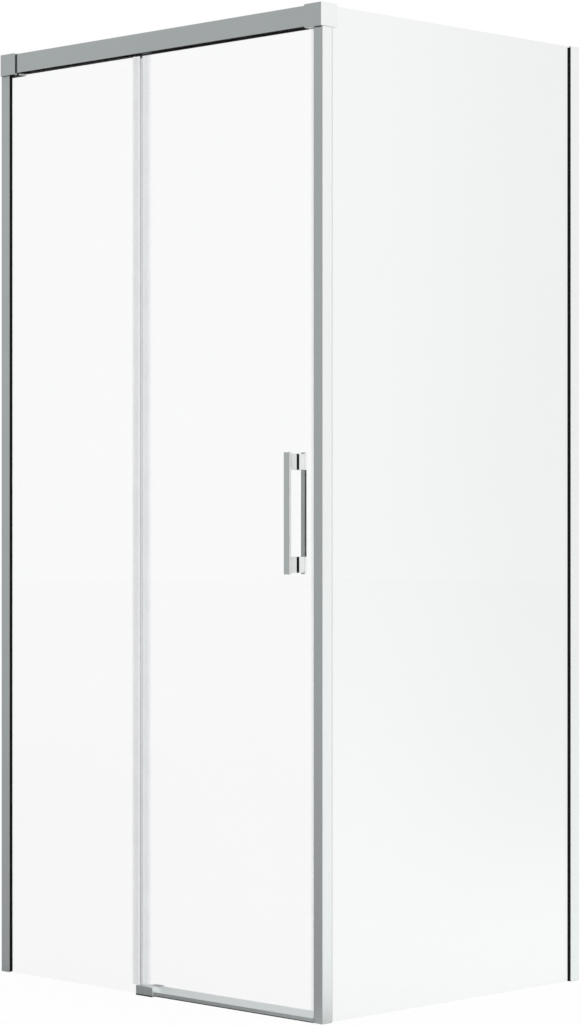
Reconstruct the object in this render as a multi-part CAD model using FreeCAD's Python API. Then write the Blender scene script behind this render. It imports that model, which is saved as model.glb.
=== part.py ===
import FreeCAD, Part
import math
import os

from FreeCAD import Vector

# Corner shower enclosure: a fixed pane and a sliding door along the front, a side pane on the right.
# Frame: millimetres, origin at the middle of the footprint on the floor, +X right along the front,
# +Y from the front towards the back wall, +Z up.  The left and the back edge meet the room's walls.

# ---- overall ----
WIDTH = 1000.0                # left wall to the outer face of the corner post
DEPTH = 802.0                 # front face of the corner post to the back wall
HEIGHT = 2041.0               # floor to the top of the rail caps

# ---- glass ----
GLASS = 6.0                   # thickness of all three panes
FRONT_RECESS = 3.4            # fixed pane behind the front face of the wall profile
SIDE_RECESS = 4.6             # side pane behind the outer face of the post
PANE_GAP = 3.6                # between the fixed pane and the sliding door
PANE_OVERLAP = 53.7           # fixed pane and closed door
FIXED_EDGE_X = 480.0          # free edge of the fixed pane, from the left wall
SIDE_GLASS_DROP = 3.5         # top of the side pane below the cap tops
END_CAP = 3.5                 # plate of the side profile's end cap
DOOR_EDGE_GAP = 36.0          # right edge of the door glass to the outer face of the post
DOOR_GLASS_LIFT = 14.0        # bottom of the door glass above the floor
DOOR_TOP_GAP = 6.5            # top of the door glass to the roof of the rail

# ---- aluminium sections ----
WALL = 1.6                    # wall of the extrusions
PROFILE_FACE = 28.0           # visible width of a wall profile
PROFILE_DEPTH = 25.0
POCKET = 12.0                 # how far a pane enters its profile
POCKET_CLEAR = 3.4            # from the pane's edge to the bottom of the pocket
LIP_SETBACK = 8.0             # inner lip shorter than the outer face
INNER_GASKET = 2.0            # thickness of the gasket behind a pane
POST_BEAD = 4.6               # bead of the outer gasket beyond the post
WALL_BEAD = 5.9               # bead of the outer gaskets beyond the wall profiles
GASKET_SHORT = 1.7            # gasket ends above the floor
GASKET_STEP = 0.4             # bead behind the outer face
CHANNEL_WALL = 1.5
CHANNEL_LEG = 10.0
SLIDE_CLEAR = 0.4             # wall profile over its channel
POST_WIDTH = 25.0
POST_DEPTH = 28.3
POST_CHAMBER = 13.0           # front chamber of the post
EDGE_ROUND = 1.0              # rounding of the visible aluminium corners
SHADOW_GAP = 0.5              # post top below its cap

# ---- wall fixings ----
WALL_HOLES = 4
WALL_HOLE_END = 100.0         # first and last hole to the ends of the channel
WALL_HOLE_RADIUS = 2.7
PROFILE_SCREWS = 3
PROFILE_SCREW_END = 150.0
SMALL_SCREW = 1.5             # shank radius of the small fixing screws
SMALL_HEAD = 3.2
SMALL_HEAD_HEIGHT = 1.8

# ---- head rail ----
RAIL_HEIGHT = 42.3
RAIL_DEPTH = 34.3
RAIL_PROUD = 3.0              # rail in front of the post
RAIL_ROOF = 1.8
GLAZING_HEIGHT = 10.5         # pocket for the fixed pane in the rail
GLAZING_ROOF = 1.5
FIXED_PANE_IN_RAIL = 8.0
GLAZING_GAP = 0.8             # rear leg of the black glazing strip
GLAZING_RIB = 1.2
SLOT_CLEAR = 1.0              # door glass to the rear ledge of the rail
LEDGE = 2.0
TRACK_WIDTH = 1.6
TRACK_HEIGHT = 11.0           # top of the track above the rail's lower edge
STRIP_LIFT = 0.4              # black strips above the rail's lower edge

# ---- rail caps ----
CAP_WRAP = 2.7                # how far the caps stand out above, below and behind the rail
CAP_FRONT = 1.2               # and in front of it
CORNER_CAP_WIDTH = 47.8
CORNER_CAP_DEPTH = 46.0
WALL_CAP_WIDTH = 49.2
WALL_CAP_GAP = 1.5            # wall cap to the wall
CAP_ROUND = 1.0
CAP_FIT = 0.1
CAP_TONGUE = 25.0
TONGUE_CLEAR = 0.3
JOINT_GAP = 7.2               # dark joint between the wall cap and the rail
JOINT_INSET = 0.4
JOINT_IN_CAP = 36.0
JOINT_IN_RAIL = 26.0

# ---- rollers ----
ROLLER_INSET = 60.0           # roller from the vertical edge of the door glass
TREAD_RADIUS = 10.45
TREAD_CLEAR = 0.05
FLANGE_HEIGHT = 1.55
TYRE_WIDTH = 5.6
BEARING_RADIUS = 8.0
BEARING_WIDTH = 5.0
RING_RADIUS = 4.15
RING_CLEAR = 0.05             # running clearance between the bearing rings
RING_WIDTH = 6.0
BOLT_RADIUS = 2.5
BOLT_HEAD_RADIUS = 4.5
BOLT_HEAD_HEIGHT = 2.0
SPACER_RADIUS = 6.0
SPACER_WIDTH = 1.6
BUSH_RADIUS = 5.0
BUSH_FLANGE_RADIUS = 8.0
BUSH_FLANGE = 1.0
NUT_HEIGHT = 2.4
NUT_ACROSS = 9.0
HOLE_CLEAR = 0.1

# ---- door travel and stops ----
DOOR_SLIDE_LENGTH = 360.0
STOP_CLEAR = 1.0
BUFFER = 3.0
STOP_LENGTH = 10.0
STOP_INSET = 0.3

# ---- seals ----
SEAL_WALL = 0.8
EDGE_SEAL_LEG = 24.0          # on the fixed pane
EDGE_SEAL_NOSE = 1.0
OVERLAP_SEAL_LEG = 16.3       # on the trailing edge of the door
OVERLAP_SEAL_NOSE = 0.8
SEAL_FIN = 1.0
SEAL_FIN_CLEAR = 0.5
SEAL_LIFT = 17.3              # vertical door seals above the floor
CLOSING_SEAL_LEG = 8.0
MAGNET_CLEAR = 0.4
MAGNET_STRIP = 2.2
MAGNET_WIDTH = 8.0
SEAL_TOP_GAP = 3.0            # seals below the caps
BOTTOM_SEAL_CLIP = 7.0
BOTTOM_SEAL_DROP = 4.0
BOTTOM_SEAL_LIP = 1.2
BOTTOM_SEAL_INSET = 2.0

# ---- threshold ----
THRESHOLD_PROUD = 1.0
THRESHOLD_LIP = 9.3
THRESHOLD_HEIGHT = 21.5
THRESHOLD_RIDGE = 1.2
THRESHOLD_WALL = 1.4
THRESHOLD_CLEAR = 1.4         # behind the ridge to the door glass

# ---- door guide ----
GUIDE_PROUD = 12.0            # block in front of the profile faces
GUIDE_LEFT = 21.0             # block beyond the fixed pane's edge, to the left
GUIDE_RIGHT = 30.0            # and to the right
GUIDE_HEIGHT = 20.5
GUIDE_DEPTH = 19.0
GUIDE_FIT = 0.2
GUIDE_FOOT = 7.5
JAW_WIDTH = 4.3
REAR_JAW = 6.0
JAW_CLEAR = 0.5
PAD = 0.5
PAD_INSET = 2.5
GLASS_SCREW_HEIGHT = 10.0
GLASS_SCREW_RADIUS = 2.4
GLASS_SCREW_SLEEVE = 4.0
GLASS_SCREW_HEAD = 5.0
GLASS_SCREW_GRIP = 9.0

# ---- handle ----
HANDLE_HEIGHT = 1020.0        # middle of the handle above the floor
HANDLE_LENGTH = 246.5
HANDLE_WIDTH = 16.0
INNER_BAR_WIDTH = 10.9        # flush with the closing side of its standoffs
HANDLE_BAR = 6.0
HANDLE_CENTRES = 208.0
HANDLE_INSET = 55.7           # middle of the handle to the edge of the door glass
STANDOFF_LENGTH = 15.5
STANDOFF_HEIGHT = 32.5
STUD_RADIUS = 2.5
STUD_GRIP = 12.0
HANDLE_ROUND = 0.8
SLEEVE_INSET = 0.3            # sleeve core inside the outline of the standoff
SLEEVE_FLANGE = 1.5           # black washer between a standoff and the glass
GRUB_RADIUS = 1.5

# ---- reference planes ----
LEFT_X = -WIDTH / 2
SIDE_X = WIDTH / 2
FRONT_REACH = max(GUIDE_PROUD, RAIL_PROUD + CAP_FRONT)
FACE_Y = (FRONT_REACH - DEPTH) / 2
BACK_Y = FACE_Y + DEPTH

FIXED_Y0 = FACE_Y + FRONT_RECESS
FIXED_Y1 = FIXED_Y0 + GLASS
DOOR_Y0 = FIXED_Y1 + PANE_GAP
DOOR_Y1 = DOOR_Y0 + GLASS
FIXED_X0 = LEFT_X + PROFILE_FACE - POCKET
FIXED_X1 = LEFT_X + FIXED_EDGE_X
DOOR_X0 = FIXED_X1 - PANE_OVERLAP
DOOR_X1 = SIDE_X - DOOR_EDGE_GAP
SIDE_Y0 = FACE_Y + POST_DEPTH - POCKET
SIDE_Y1 = BACK_Y - PROFILE_FACE + POCKET
SIDE_INNER_X = SIDE_X - SIDE_RECESS - GLASS
POCKET_X = SIDE_INNER_X - INNER_GASKET

RAIL_Z1 = HEIGHT - CAP_WRAP
RAIL_Z0 = RAIL_Z1 - RAIL_HEIGHT
CAP_Z0 = RAIL_Z0 - CAP_WRAP
RAIL_Y0 = FACE_Y - RAIL_PROUD
RAIL_Y1 = RAIL_Y0 + RAIL_DEPTH
CAP_Y0 = RAIL_Y0 - CAP_FRONT
WALL_CAP_X0 = LEFT_X + WALL_CAP_GAP
WALL_CAP_X1 = WALL_CAP_X0 + WALL_CAP_WIDTH
WALL_CAP_Y1 = RAIL_Y1 + CAP_WRAP
CORNER_CAP_X0 = SIDE_X - CORNER_CAP_WIDTH
CORNER_CAP_Y1 = CAP_Y0 + CORNER_CAP_DEPTH
RAIL_X0 = WALL_CAP_X1 + JOINT_GAP
RAIL_X1 = POCKET_X - WALL
GLAZING_Z1 = RAIL_Z0 + GLAZING_HEIGHT
CHAMBER_Z0 = GLAZING_Z1 + GLAZING_ROOF
CHAMBER_Z1 = RAIL_Z1 - RAIL_ROOF
RIB_Y0 = FIXED_Y1 + GLAZING_GAP
RIB_Y1 = RIB_Y0 + GLAZING_RIB
LEDGE_Y0 = DOOR_Y1 + SLOT_CLEAR
RAIL_BACK_Y = RAIL_Y1 - WALL
FIXED_TOP = RAIL_Z0 + FIXED_PANE_IN_RAIL
SIDE_TOP = HEIGHT - SIDE_GLASS_DROP
DOOR_TOP = CHAMBER_Z1 - DOOR_TOP_GAP

AXLE_Y = DOOR_Y1 + SPACER_WIDTH + RING_WIDTH / 2
AXLE_Z = RAIL_Z0 + TRACK_HEIGHT + TREAD_CLEAR + TREAD_RADIUS
FLANGE_RADIUS = TREAD_RADIUS + FLANGE_HEIGHT
ROLLER_X = {"left": DOOR_X0 + ROLLER_INSET, "right": DOOR_X1 - ROLLER_INSET}

THRESHOLD_Y0 = FACE_Y - THRESHOLD_PROUD
THRESHOLD_Y1 = DOOR_Y0 - THRESHOLD_CLEAR
GUIDE_X0 = FIXED_X1 - GUIDE_LEFT
GUIDE_X1 = FIXED_X1 + GUIDE_RIGHT
GUIDE_Y0 = FACE_Y - GUIDE_PROUD
GUIDE_Y1 = GUIDE_Y0 + GUIDE_DEPTH
GUIDE_STEP_X = FIXED_X1 + EDGE_SEAL_NOSE + GUIDE_FIT
JAW_FRONT = DOOR_Y0 - SEAL_WALL - JAW_CLEAR
JAW_REAR = DOOR_Y1 + SEAL_WALL + JAW_CLEAR

HANDLE_X = DOOR_X1 - HANDLE_INSET
STANDOFF_Z = [HANDLE_HEIGHT - HANDLE_CENTRES / 2, HANDLE_HEIGHT + HANDLE_CENTRES / 2]

FAR = 2 * WIDTH


# ---- shape helpers ----
def block(x0, x1, y0, y1, z0, z1):
    """A box between two corners."""
    return Part.makeBox(x1 - x0, y1 - y0, z1 - z0, Vector(x0, y0, z0))


def rod_y(radius, x, z, y0, y1):
    """A round bar along Y."""
    return Part.makeCylinder(radius, y1 - y0, Vector(x, y0, z), Vector(0, 1, 0))


def rod_x(radius, y, z, x0, x1):
    """A round bar along X."""
    return Part.makeCylinder(radius, x1 - x0, Vector(x0, y, z), Vector(1, 0, 0))


def corner_points(before, corner, after, radius):
    """Start, middle and end of the arc that rounds a corner of an outline."""
    back = (before - corner).normalize()
    ahead = (after - corner).normalize()
    half = back.getAngle(ahead) / 2
    inwards = (back + ahead).normalize()
    centre = corner + inwards * (radius / math.sin(half))
    reach = radius / math.tan(half)
    return corner + back * reach, centre - inwards * radius, corner + ahead * reach


def prism(outline, place, along):
    """Extrude an outline of (a, b) or (a, b, radius) corners; place(a, b) puts it in space."""
    spots = [place(c[0], c[1]) for c in outline]
    radii = [c[2] if len(c) > 2 else 0.0 for c in outline]
    count = len(spots)
    edges = []
    first = None
    last = None
    for i in range(count):
        start = spots[i]
        end = spots[i]
        if radii[i] > 0:
            start, middle, end = corner_points(spots[i - 1], spots[i], spots[(i + 1) % count], radii[i])
        if last is not None:
            edges.append(Part.LineSegment(last, start).toShape())
        if radii[i] > 0:
            edges.append(Part.Arc(start, middle, end).toShape())
        first = first or start
        last = end
    edges.append(Part.LineSegment(last, first).toShape())
    return Part.Face(Part.Wire(edges)).extrude(along)


def rectangle(a0, a1, b0, b1, radius=0.0):
    """Corners of a rectangle for prism."""
    return [(a0, b0, radius), (a1, b0, radius), (a1, b1, radius), (a0, b1, radius)]


def in_yz(x):
    """Place (y, z) outlines at x."""
    return lambda y, z: Vector(x, y, z)


def in_xy(z):
    """Place (x, y) outlines at z."""
    return lambda x, y: Vector(x, y, z)


def in_xz(y):
    """Place (x, z) outlines at y."""
    return lambda x, z: Vector(x, y, z)


def fuse(shapes):
    """One solid out of touching shapes."""
    return shapes[0].multiFuse(shapes[1:]).removeSplitter()


def cut(body, tools):
    """Take several shapes out of a body."""
    for tool in tools:
        body = body.cut(tool)
    return body


def group(shapes):
    """Separate like solids in one node."""
    return Part.makeCompound(shapes)


def soft_block(x0, x1, y0, y1, z0, z1, radius):
    """A box with all its edges rounded."""
    box = block(x0, x1, y0, y1, z0, z1)
    return box.makeFillet(radius, box.Edges)


def heights(count, end, top):
    """Evenly pitched heights on a member of the given height, the same distance from both its ends."""
    return [end + i * (top - 2 * end) / (count - 1) for i in range(count)]


# ---- wall profiles, seen in (u, v): u from the wall along the pane, v inwards from the outer face ----
def front_wall(z):
    """Place (u, v) outlines of the front pane's wall profile."""
    return lambda u, v: Vector(LEFT_X + u, FACE_Y + v, z)


def side_wall(z):
    """Place (u, v) outlines of the side pane's wall profile."""
    return lambda u, v: Vector(SIDE_X - v, BACK_Y - u, z)


def post_lips(z):
    """Place (u, v) outlines so that the post's lips end at the same u as a wall profile's face."""
    return lambda u, v: Vector(SIDE_X - v, FACE_Y + POST_DEPTH - PROFILE_FACE + u, z)


WEB_U1 = PROFILE_FACE - POCKET - POCKET_CLEAR
WEB_U0 = WEB_U1 - WALL
CHANNEL_V0 = WALL + SLIDE_CLEAR
CHANNEL_V1 = PROFILE_DEPTH - WALL - SLIDE_CLEAR


def place_rod(place, radius, v0, v1, u, z):
    """A round bar along the profile's depth."""
    start = place(z)(u, v0)
    end = place(z)(u, v1)
    return Part.makeCylinder(radius, (end - start).Length, start, end - start)


def wall_profile(place, recess, height):
    """Glazing profile that slides over its wall channel."""
    lip_v = recess + GLASS + INNER_GASKET
    lip_u = PROFILE_FACE - LIP_SETBACK
    outline = [(0, 0, EDGE_ROUND), (PROFILE_FACE, 0, EDGE_ROUND), (PROFILE_FACE, WALL), (WEB_U1, WALL),
               (WEB_U1, lip_v), (lip_u, lip_v), (lip_u, lip_v + WALL),
               (WEB_U1, lip_v + WALL), (WEB_U1, PROFILE_DEPTH, EDGE_ROUND), (0, PROFILE_DEPTH),
               (0, PROFILE_DEPTH - WALL), (WEB_U0, PROFILE_DEPTH - WALL), (WEB_U0, WALL), (0, WALL)]
    body = prism(outline, place(0), Vector(0, 0, height))
    holes = [place_rod(place, SMALL_SCREW, PROFILE_DEPTH - 2 * WALL, PROFILE_DEPTH + WALL, WEB_U0 / 2, z)
             for z in heights(PROFILE_SCREWS, PROFILE_SCREW_END, height)]
    return cut(body, holes)


def wall_channel(place, height):
    """U channel screwed to the wall, inside the glazing profile."""
    leg = CHANNEL_V1 - CHANNEL_WALL
    outline = [(0, CHANNEL_V0), (CHANNEL_LEG, CHANNEL_V0), (CHANNEL_LEG, CHANNEL_V0 + CHANNEL_WALL),
               (CHANNEL_WALL, CHANNEL_V0 + CHANNEL_WALL), (CHANNEL_WALL, leg), (CHANNEL_LEG, leg),
               (CHANNEL_LEG, CHANNEL_V1), (0, CHANNEL_V1)]
    body = prism(outline, place(0), Vector(0, 0, height))
    screws = [place_rod(place, SMALL_SCREW, leg - CHANNEL_WALL, CHANNEL_V1 + CHANNEL_WALL, WEB_U0 / 2, z)
              for z in heights(PROFILE_SCREWS, PROFILE_SCREW_END, height)]
    holes = []
    for z in heights(WALL_HOLES, WALL_HOLE_END, height):
        start = place(z)(-CHANNEL_WALL, PROFILE_DEPTH / 2)
        inwards = place(z)(CHANNEL_WALL, PROFILE_DEPTH / 2) - start
        holes.append(Part.makeCylinder(WALL_HOLE_RADIUS, 3 * CHANNEL_WALL, start, inwards))
    return cut(body, screws + holes)


def profile_screws(place, height):
    """Self-tapping screws from inside the shower through the profile into its channel."""
    tip_v = CHANNEL_V1 - 3 * CHANNEL_WALL
    screws = []
    for z in heights(PROFILE_SCREWS, PROFILE_SCREW_END, height):
        shank = place_rod(place, SMALL_SCREW, tip_v, PROFILE_DEPTH, WEB_U0 / 2, z)
        head = place_rod(place, SMALL_HEAD, PROFILE_DEPTH, PROFILE_DEPTH + SMALL_HEAD_HEIGHT, WEB_U0 / 2, z)
        screws.append(fuse([shank, head]))
    return group(screws)


def outer_gasket(place, recess, z0, z1, bead):
    """Black wedge between the outer lip and the pane, with its bead beyond the lip."""
    lip = PROFILE_FACE
    outline = [(lip - POCKET, WALL), (lip, WALL), (lip, GASKET_STEP), (lip + GASKET_STEP, GASKET_STEP),
               (lip + bead, recess), (lip - POCKET, recess)]
    return prism(outline, place(z0), Vector(0, 0, z1 - z0))


def inner_gasket(place, recess, z0, z1, setback):
    """Black wedge between the pane and the inner lip."""
    lip = PROFILE_FACE - setback
    pane = recess + GLASS
    outline = [(lip - POCKET + LIP_SETBACK, pane), (lip + INNER_GASKET / 2, pane),
               (lip, pane + INNER_GASKET), (lip - POCKET + LIP_SETBACK, pane + INNER_GASKET)]
    return prism(outline, place(z0), Vector(0, 0, z1 - z0))


def side_profile_cap(height):
    """Small end cap on the side wall profile, flush with the top of the pane."""
    u0 = PROFILE_FACE - POCKET - POCKET_CLEAR
    v0 = SIDE_RECESS - TONGUE_CLEAR
    v1 = SIDE_RECESS + GLASS + TONGUE_CLEAR
    outline = [(0, 0, EDGE_ROUND), (PROFILE_FACE, 0, EDGE_ROUND), (PROFILE_FACE, v0), (u0, v0), (u0, v1),
               (PROFILE_FACE - LIP_SETBACK, v1), (PROFILE_FACE - LIP_SETBACK, v1 + INNER_GASKET + WALL),
               (WEB_U1, v1 + INNER_GASKET + WALL), (WEB_U1, PROFILE_DEPTH, EDGE_ROUND), (0, PROFILE_DEPTH)]
    plate = prism(outline, side_wall(height), Vector(0, 0, SIDE_TOP - height))
    plug = prism(rectangle(CHANNEL_WALL + TONGUE_CLEAR, WEB_U0 - TONGUE_CLEAR, CHANNEL_V0 + 2 * CHANNEL_WALL,
                           CHANNEL_V1 - 2 * CHANNEL_WALL), side_wall(height - CAP_TONGUE / 2),
                 Vector(0, 0, CAP_TONGUE / 2))
    return fuse([plate, plug])


# ---- corner post ----
def corner_post():
    """Two-chamber corner post with the pocket for the side pane."""
    top = CAP_Z0 - SHADOW_GAP
    x0 = SIDE_X - POST_WIDTH
    y1 = FACE_Y + POST_DEPTH
    chamber_y = FACE_Y + POST_CHAMBER
    body = prism(rectangle(x0, SIDE_X, FACE_Y, y1, EDGE_ROUND), in_xy(0), Vector(0, 0, top))
    front = block(x0 + WALL, SIDE_X - WALL, FACE_Y + WALL, chamber_y - WALL, -WALL, HEIGHT)
    rear = block(x0 + WALL, POCKET_X - WALL, chamber_y, y1 - WALL, -WALL, HEIGHT)
    pocket = block(POCKET_X, SIDE_X - WALL, chamber_y, y1 + WALL, -WALL, HEIGHT)
    screw = rod_x(SMALL_SCREW, FACE_Y + POST_CHAMBER / 2, top - CAP_TONGUE / 2, x0 - WALL, x0 + 2 * WALL)
    return cut(body, [front, rear, pocket, screw])


def post_screw():
    """Screw from the doorway through the post into the tongue of the corner cap."""
    x0 = SIDE_X - POST_WIDTH
    y = FACE_Y + POST_CHAMBER / 2
    z = CAP_Z0 - SHADOW_GAP - CAP_TONGUE / 2
    head = rod_x(SMALL_HEAD, y, z, x0 - SMALL_HEAD_HEIGHT, x0)
    shank = rod_x(SMALL_SCREW, y, z, x0, x0 + POST_WIDTH / 2)
    return fuse([head, shank])


def post_magnet():
    """Magnetic strip on the face of the post that the door closes against."""
    x0 = SIDE_X - POST_WIDTH - MAGNET_STRIP
    y = (DOOR_Y0 + DOOR_Y1) / 2
    return prism(rectangle(x0, SIDE_X - POST_WIDTH, y - MAGNET_WIDTH / 2, y + MAGNET_WIDTH / 2),
                 in_xy(GASKET_SHORT), Vector(0, 0, CAP_Z0 - SEAL_TOP_GAP - GASKET_SHORT))


# ---- head rail ----
def head_rail():
    """Extrusion with a pocket for the fixed pane, a slot for the door and the roller track."""
    span = Vector(RAIL_X1 - RAIL_X0, 0, 0)
    outline = [(RAIL_Y0, RAIL_Z0), (RAIL_Y1, RAIL_Z0), (RAIL_Y1, RAIL_Z1, EDGE_ROUND),
               (RAIL_Y0, RAIL_Z1, EDGE_ROUND)]
    body = prism(outline, in_yz(RAIL_X0), span)
    low = RAIL_Z0 - LEDGE
    upper = block(-FAR, FAR, RAIL_Y0 + WALL, RAIL_BACK_Y, CHAMBER_Z0, CHAMBER_Z1)
    pocket = block(-FAR, FAR, RAIL_Y0 + WALL, RIB_Y0, low, GLAZING_Z1)
    slot = block(-FAR, FAR, RIB_Y1, LEDGE_Y0, low, CHAMBER_Z0)
    rear = block(-FAR, FAR, LEDGE_Y0, RAIL_BACK_Y, RAIL_Z0 + LEDGE, CHAMBER_Z0)
    screws = [rod_y(SMALL_SCREW, x, z, RAIL_BACK_Y - WALL, RAIL_Y1 + WALL) for x, z in rail_screw_places()]
    track_y = [AXLE_Y - TRACK_WIDTH / 2, AXLE_Y + TRACK_WIDTH / 2]
    track_z = [RAIL_Z0 + LEDGE / 2, RAIL_Z0 + TRACK_HEIGHT]
    crown = TRACK_WIDTH / 4
    track = prism([(track_y[0], track_z[0]), (track_y[1], track_z[0]), (track_y[1], track_z[1], crown),
                   (track_y[0], track_z[1], crown)], in_yz(RAIL_X0), span)
    return fuse([cut(body, [upper, pocket, slot, rear] + screws), track])


def rail_screw_places():
    """(x, z) of the screws in the back of the rail: joint sleeve, two stops and corner cap."""
    middle = (CHAMBER_Z0 + CHAMBER_Z1) / 2
    places = [(RAIL_X0 + JOINT_IN_RAIL / 2, middle)]
    places += [((x0 + x1) / 2, middle) for x0, x1 in stop_spans()]
    places.append((CORNER_CAP_X0 + CORNER_CAP_WIDTH / 2, middle))
    return places


def stop_spans():
    """X spans of the two stop bodies, clear of the wheels by the stop clearance and the buffer."""
    reach = FLANGE_RADIUS + STOP_CLEAR + BUFFER
    left = ROLLER_X["left"] - DOOR_SLIDE_LENGTH - reach
    right = ROLLER_X["right"] + reach
    return [(left - STOP_LENGTH, left), (right, right + STOP_LENGTH)]


def door_stops():
    """Stop bodies in the rear chamber of the rail."""
    y0 = LEDGE_Y0 + STOP_INSET
    screws = [rod_y(SMALL_SCREW, x, z, y0, RAIL_Y1) for x, z in rail_screw_places()[1:3]]
    bodies = [block(x0, x1, y0, RAIL_BACK_Y - STOP_INSET, CHAMBER_Z0 + STOP_INSET, CHAMBER_Z1 - STOP_INSET)
              for x0, x1 in stop_spans()]
    return group([cut(body, screws) for body in bodies])


def stop_buffers():
    """Rubber buffers that the wheels meet at the ends of the travel."""
    left, right = stop_spans()
    y0 = LEDGE_Y0 + 2 * STOP_INSET
    y1 = RAIL_BACK_Y - 2 * STOP_INSET
    z0 = CHAMBER_Z0 + 2 * STOP_INSET
    z1 = AXLE_Z + FLANGE_RADIUS
    return group([block(left[1], left[1] + BUFFER, y0, y1, z0, z1),
                  block(right[0] - BUFFER, right[0], y0, y1, z0, z1)])


def rail_screws():
    """Screws through the back of the rail into the joint sleeve, the stops and the corner cap."""
    tip_y = LEDGE_Y0 + 2 * WALL
    screws = []
    for x, z in rail_screw_places()[:3]:
        head = rod_y(SMALL_HEAD, x, z, RAIL_Y1, RAIL_Y1 + SMALL_HEAD_HEIGHT)
        screws.append(fuse([rod_y(SMALL_SCREW, x, z, tip_y, RAIL_Y1), head]))
    x, z = rail_screw_places()[3]
    head_y = CORNER_CAP_Y1 - SMALL_HEAD_HEIGHT
    head = rod_y(SMALL_HEAD, x, z, head_y, CORNER_CAP_Y1)
    screws.append(fuse([rod_y(SMALL_SCREW, x, z, RAIL_BACK_Y - WALL, head_y), head]))
    return group(screws)


def glazing_strip():
    """Black strip that grips the top edge of the fixed pane in the rail."""
    y0 = RAIL_Y0 + WALL
    z0 = RAIL_Z0 + STRIP_LIFT
    body = block(RAIL_X0, FIXED_X1, y0, RIB_Y0, z0, GLAZING_Z1)
    pane = block(-FAR, FAR, FIXED_Y0, FIXED_Y1, z0 - STRIP_LIFT, FIXED_TOP)
    return body.cut(pane)


def infill_strip():
    """Black strip that closes the empty glazing pocket above the doorway."""
    y0 = RAIL_Y0 + WALL
    z0 = RAIL_Z0 + STRIP_LIFT
    body = block(FIXED_X1, CORNER_CAP_X0, y0, RIB_Y0, z0, GLAZING_Z1)
    hollow = block(-FAR, FAR, y0 + WALL, RIB_Y0 - WALL, z0 + WALL, GLAZING_Z1 + WALL)
    return body.cut(hollow)


def joint_outline(inset):
    """Outline of the rail's inside joint piece, open for the top edge of the fixed pane."""
    y0 = RAIL_Y0 + inset
    y1 = RAIL_Y1 - inset
    z0 = RAIL_Z0 + inset
    z1 = RAIL_Z1 - inset
    notch = FIXED_TOP + TONGUE_CLEAR
    return [(y0, z0), (FIXED_Y0 - TONGUE_CLEAR, z0), (FIXED_Y0 - TONGUE_CLEAR, notch),
            (FIXED_Y1 + TONGUE_CLEAR, notch), (FIXED_Y1 + TONGUE_CLEAR, z0), (y1, z0), (y1, z1), (y0, z1)]


def rail_joint():
    """Dark sleeve between the wall cap and the rail, with two prongs inside the rail."""
    x0 = WALL_CAP_X1 - JOINT_IN_CAP
    collar = prism(joint_outline(JOINT_INSET), in_yz(x0), Vector(RAIL_X0 - x0, 0, 0))
    z0 = CHAMBER_Z0 + STOP_INSET
    z1 = CHAMBER_Z1 - STOP_INSET
    x1 = RAIL_X0 + JOINT_IN_RAIL
    front = block(RAIL_X0, x1, RAIL_Y0 + WALL + STOP_INSET, FIXED_Y1, z0, z1)
    rear = block(RAIL_X0, x1, LEDGE_Y0 + STOP_INSET, RAIL_BACK_Y - STOP_INSET, z0, z1)
    rail_hole = rod_y(SMALL_SCREW, *rail_screw_places()[0], LEDGE_Y0, RAIL_Y1)
    cap_hole = rod_y(SMALL_SCREW, *wall_cap_screw_place(), LEDGE_Y0, RAIL_Y1)
    return cut(fuse([collar, front, rear]), [rail_hole, cap_hole])


def wall_cap_screw_place():
    """(x, z) of the screw that holds the wall cap to the joint sleeve."""
    return WALL_CAP_X1 - JOINT_IN_CAP / 2, (CHAMBER_Z0 + CHAMBER_Z1) / 2


def wall_cap():
    """Cap over the wall end of the rail; its tongue stands in the wall channel."""
    body = soft_block(WALL_CAP_X0, WALL_CAP_X1, CAP_Y0, WALL_CAP_Y1, CAP_Z0, HEIGHT, CAP_ROUND)
    x0 = WALL_CAP_X1 - JOINT_IN_CAP - CAP_FIT
    pocket = prism(joint_outline(JOINT_INSET - CAP_FIT), in_yz(x0), Vector(WALL_CAP_WIDTH, 0, 0))
    pane = block(FIXED_X0 - TONGUE_CLEAR, FAR, FIXED_Y0 - TONGUE_CLEAR, FIXED_Y1 + TONGUE_CLEAR,
                 CAP_Z0 - WALL, FIXED_TOP + TONGUE_CLEAR)
    plug = rectangle(CHANNEL_WALL + TONGUE_CLEAR, WEB_U0 - TONGUE_CLEAR,
                     CHANNEL_V0 + 2 * CHANNEL_WALL, CHANNEL_V1 - 2 * CHANNEL_WALL)
    tongue = prism(plug, front_wall(CAP_Z0 - CAP_TONGUE), Vector(0, 0, CAP_TONGUE + CAP_WRAP))
    screw = rod_y(SMALL_SCREW, *wall_cap_screw_place(), RAIL_BACK_Y, WALL_CAP_Y1 + WALL)
    return cut(fuse([body, tongue]), [pocket, pane, screw])


def wall_cap_screw():
    """Screw through the back of the wall cap into the joint sleeve."""
    x, z = wall_cap_screw_place()
    shank = rod_y(SMALL_SCREW, x, z, LEDGE_Y0 + WALL, WALL_CAP_Y1)
    head = rod_y(SMALL_HEAD, x, z, WALL_CAP_Y1, WALL_CAP_Y1 + SMALL_HEAD_HEIGHT)
    return fuse([shank, head])


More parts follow.
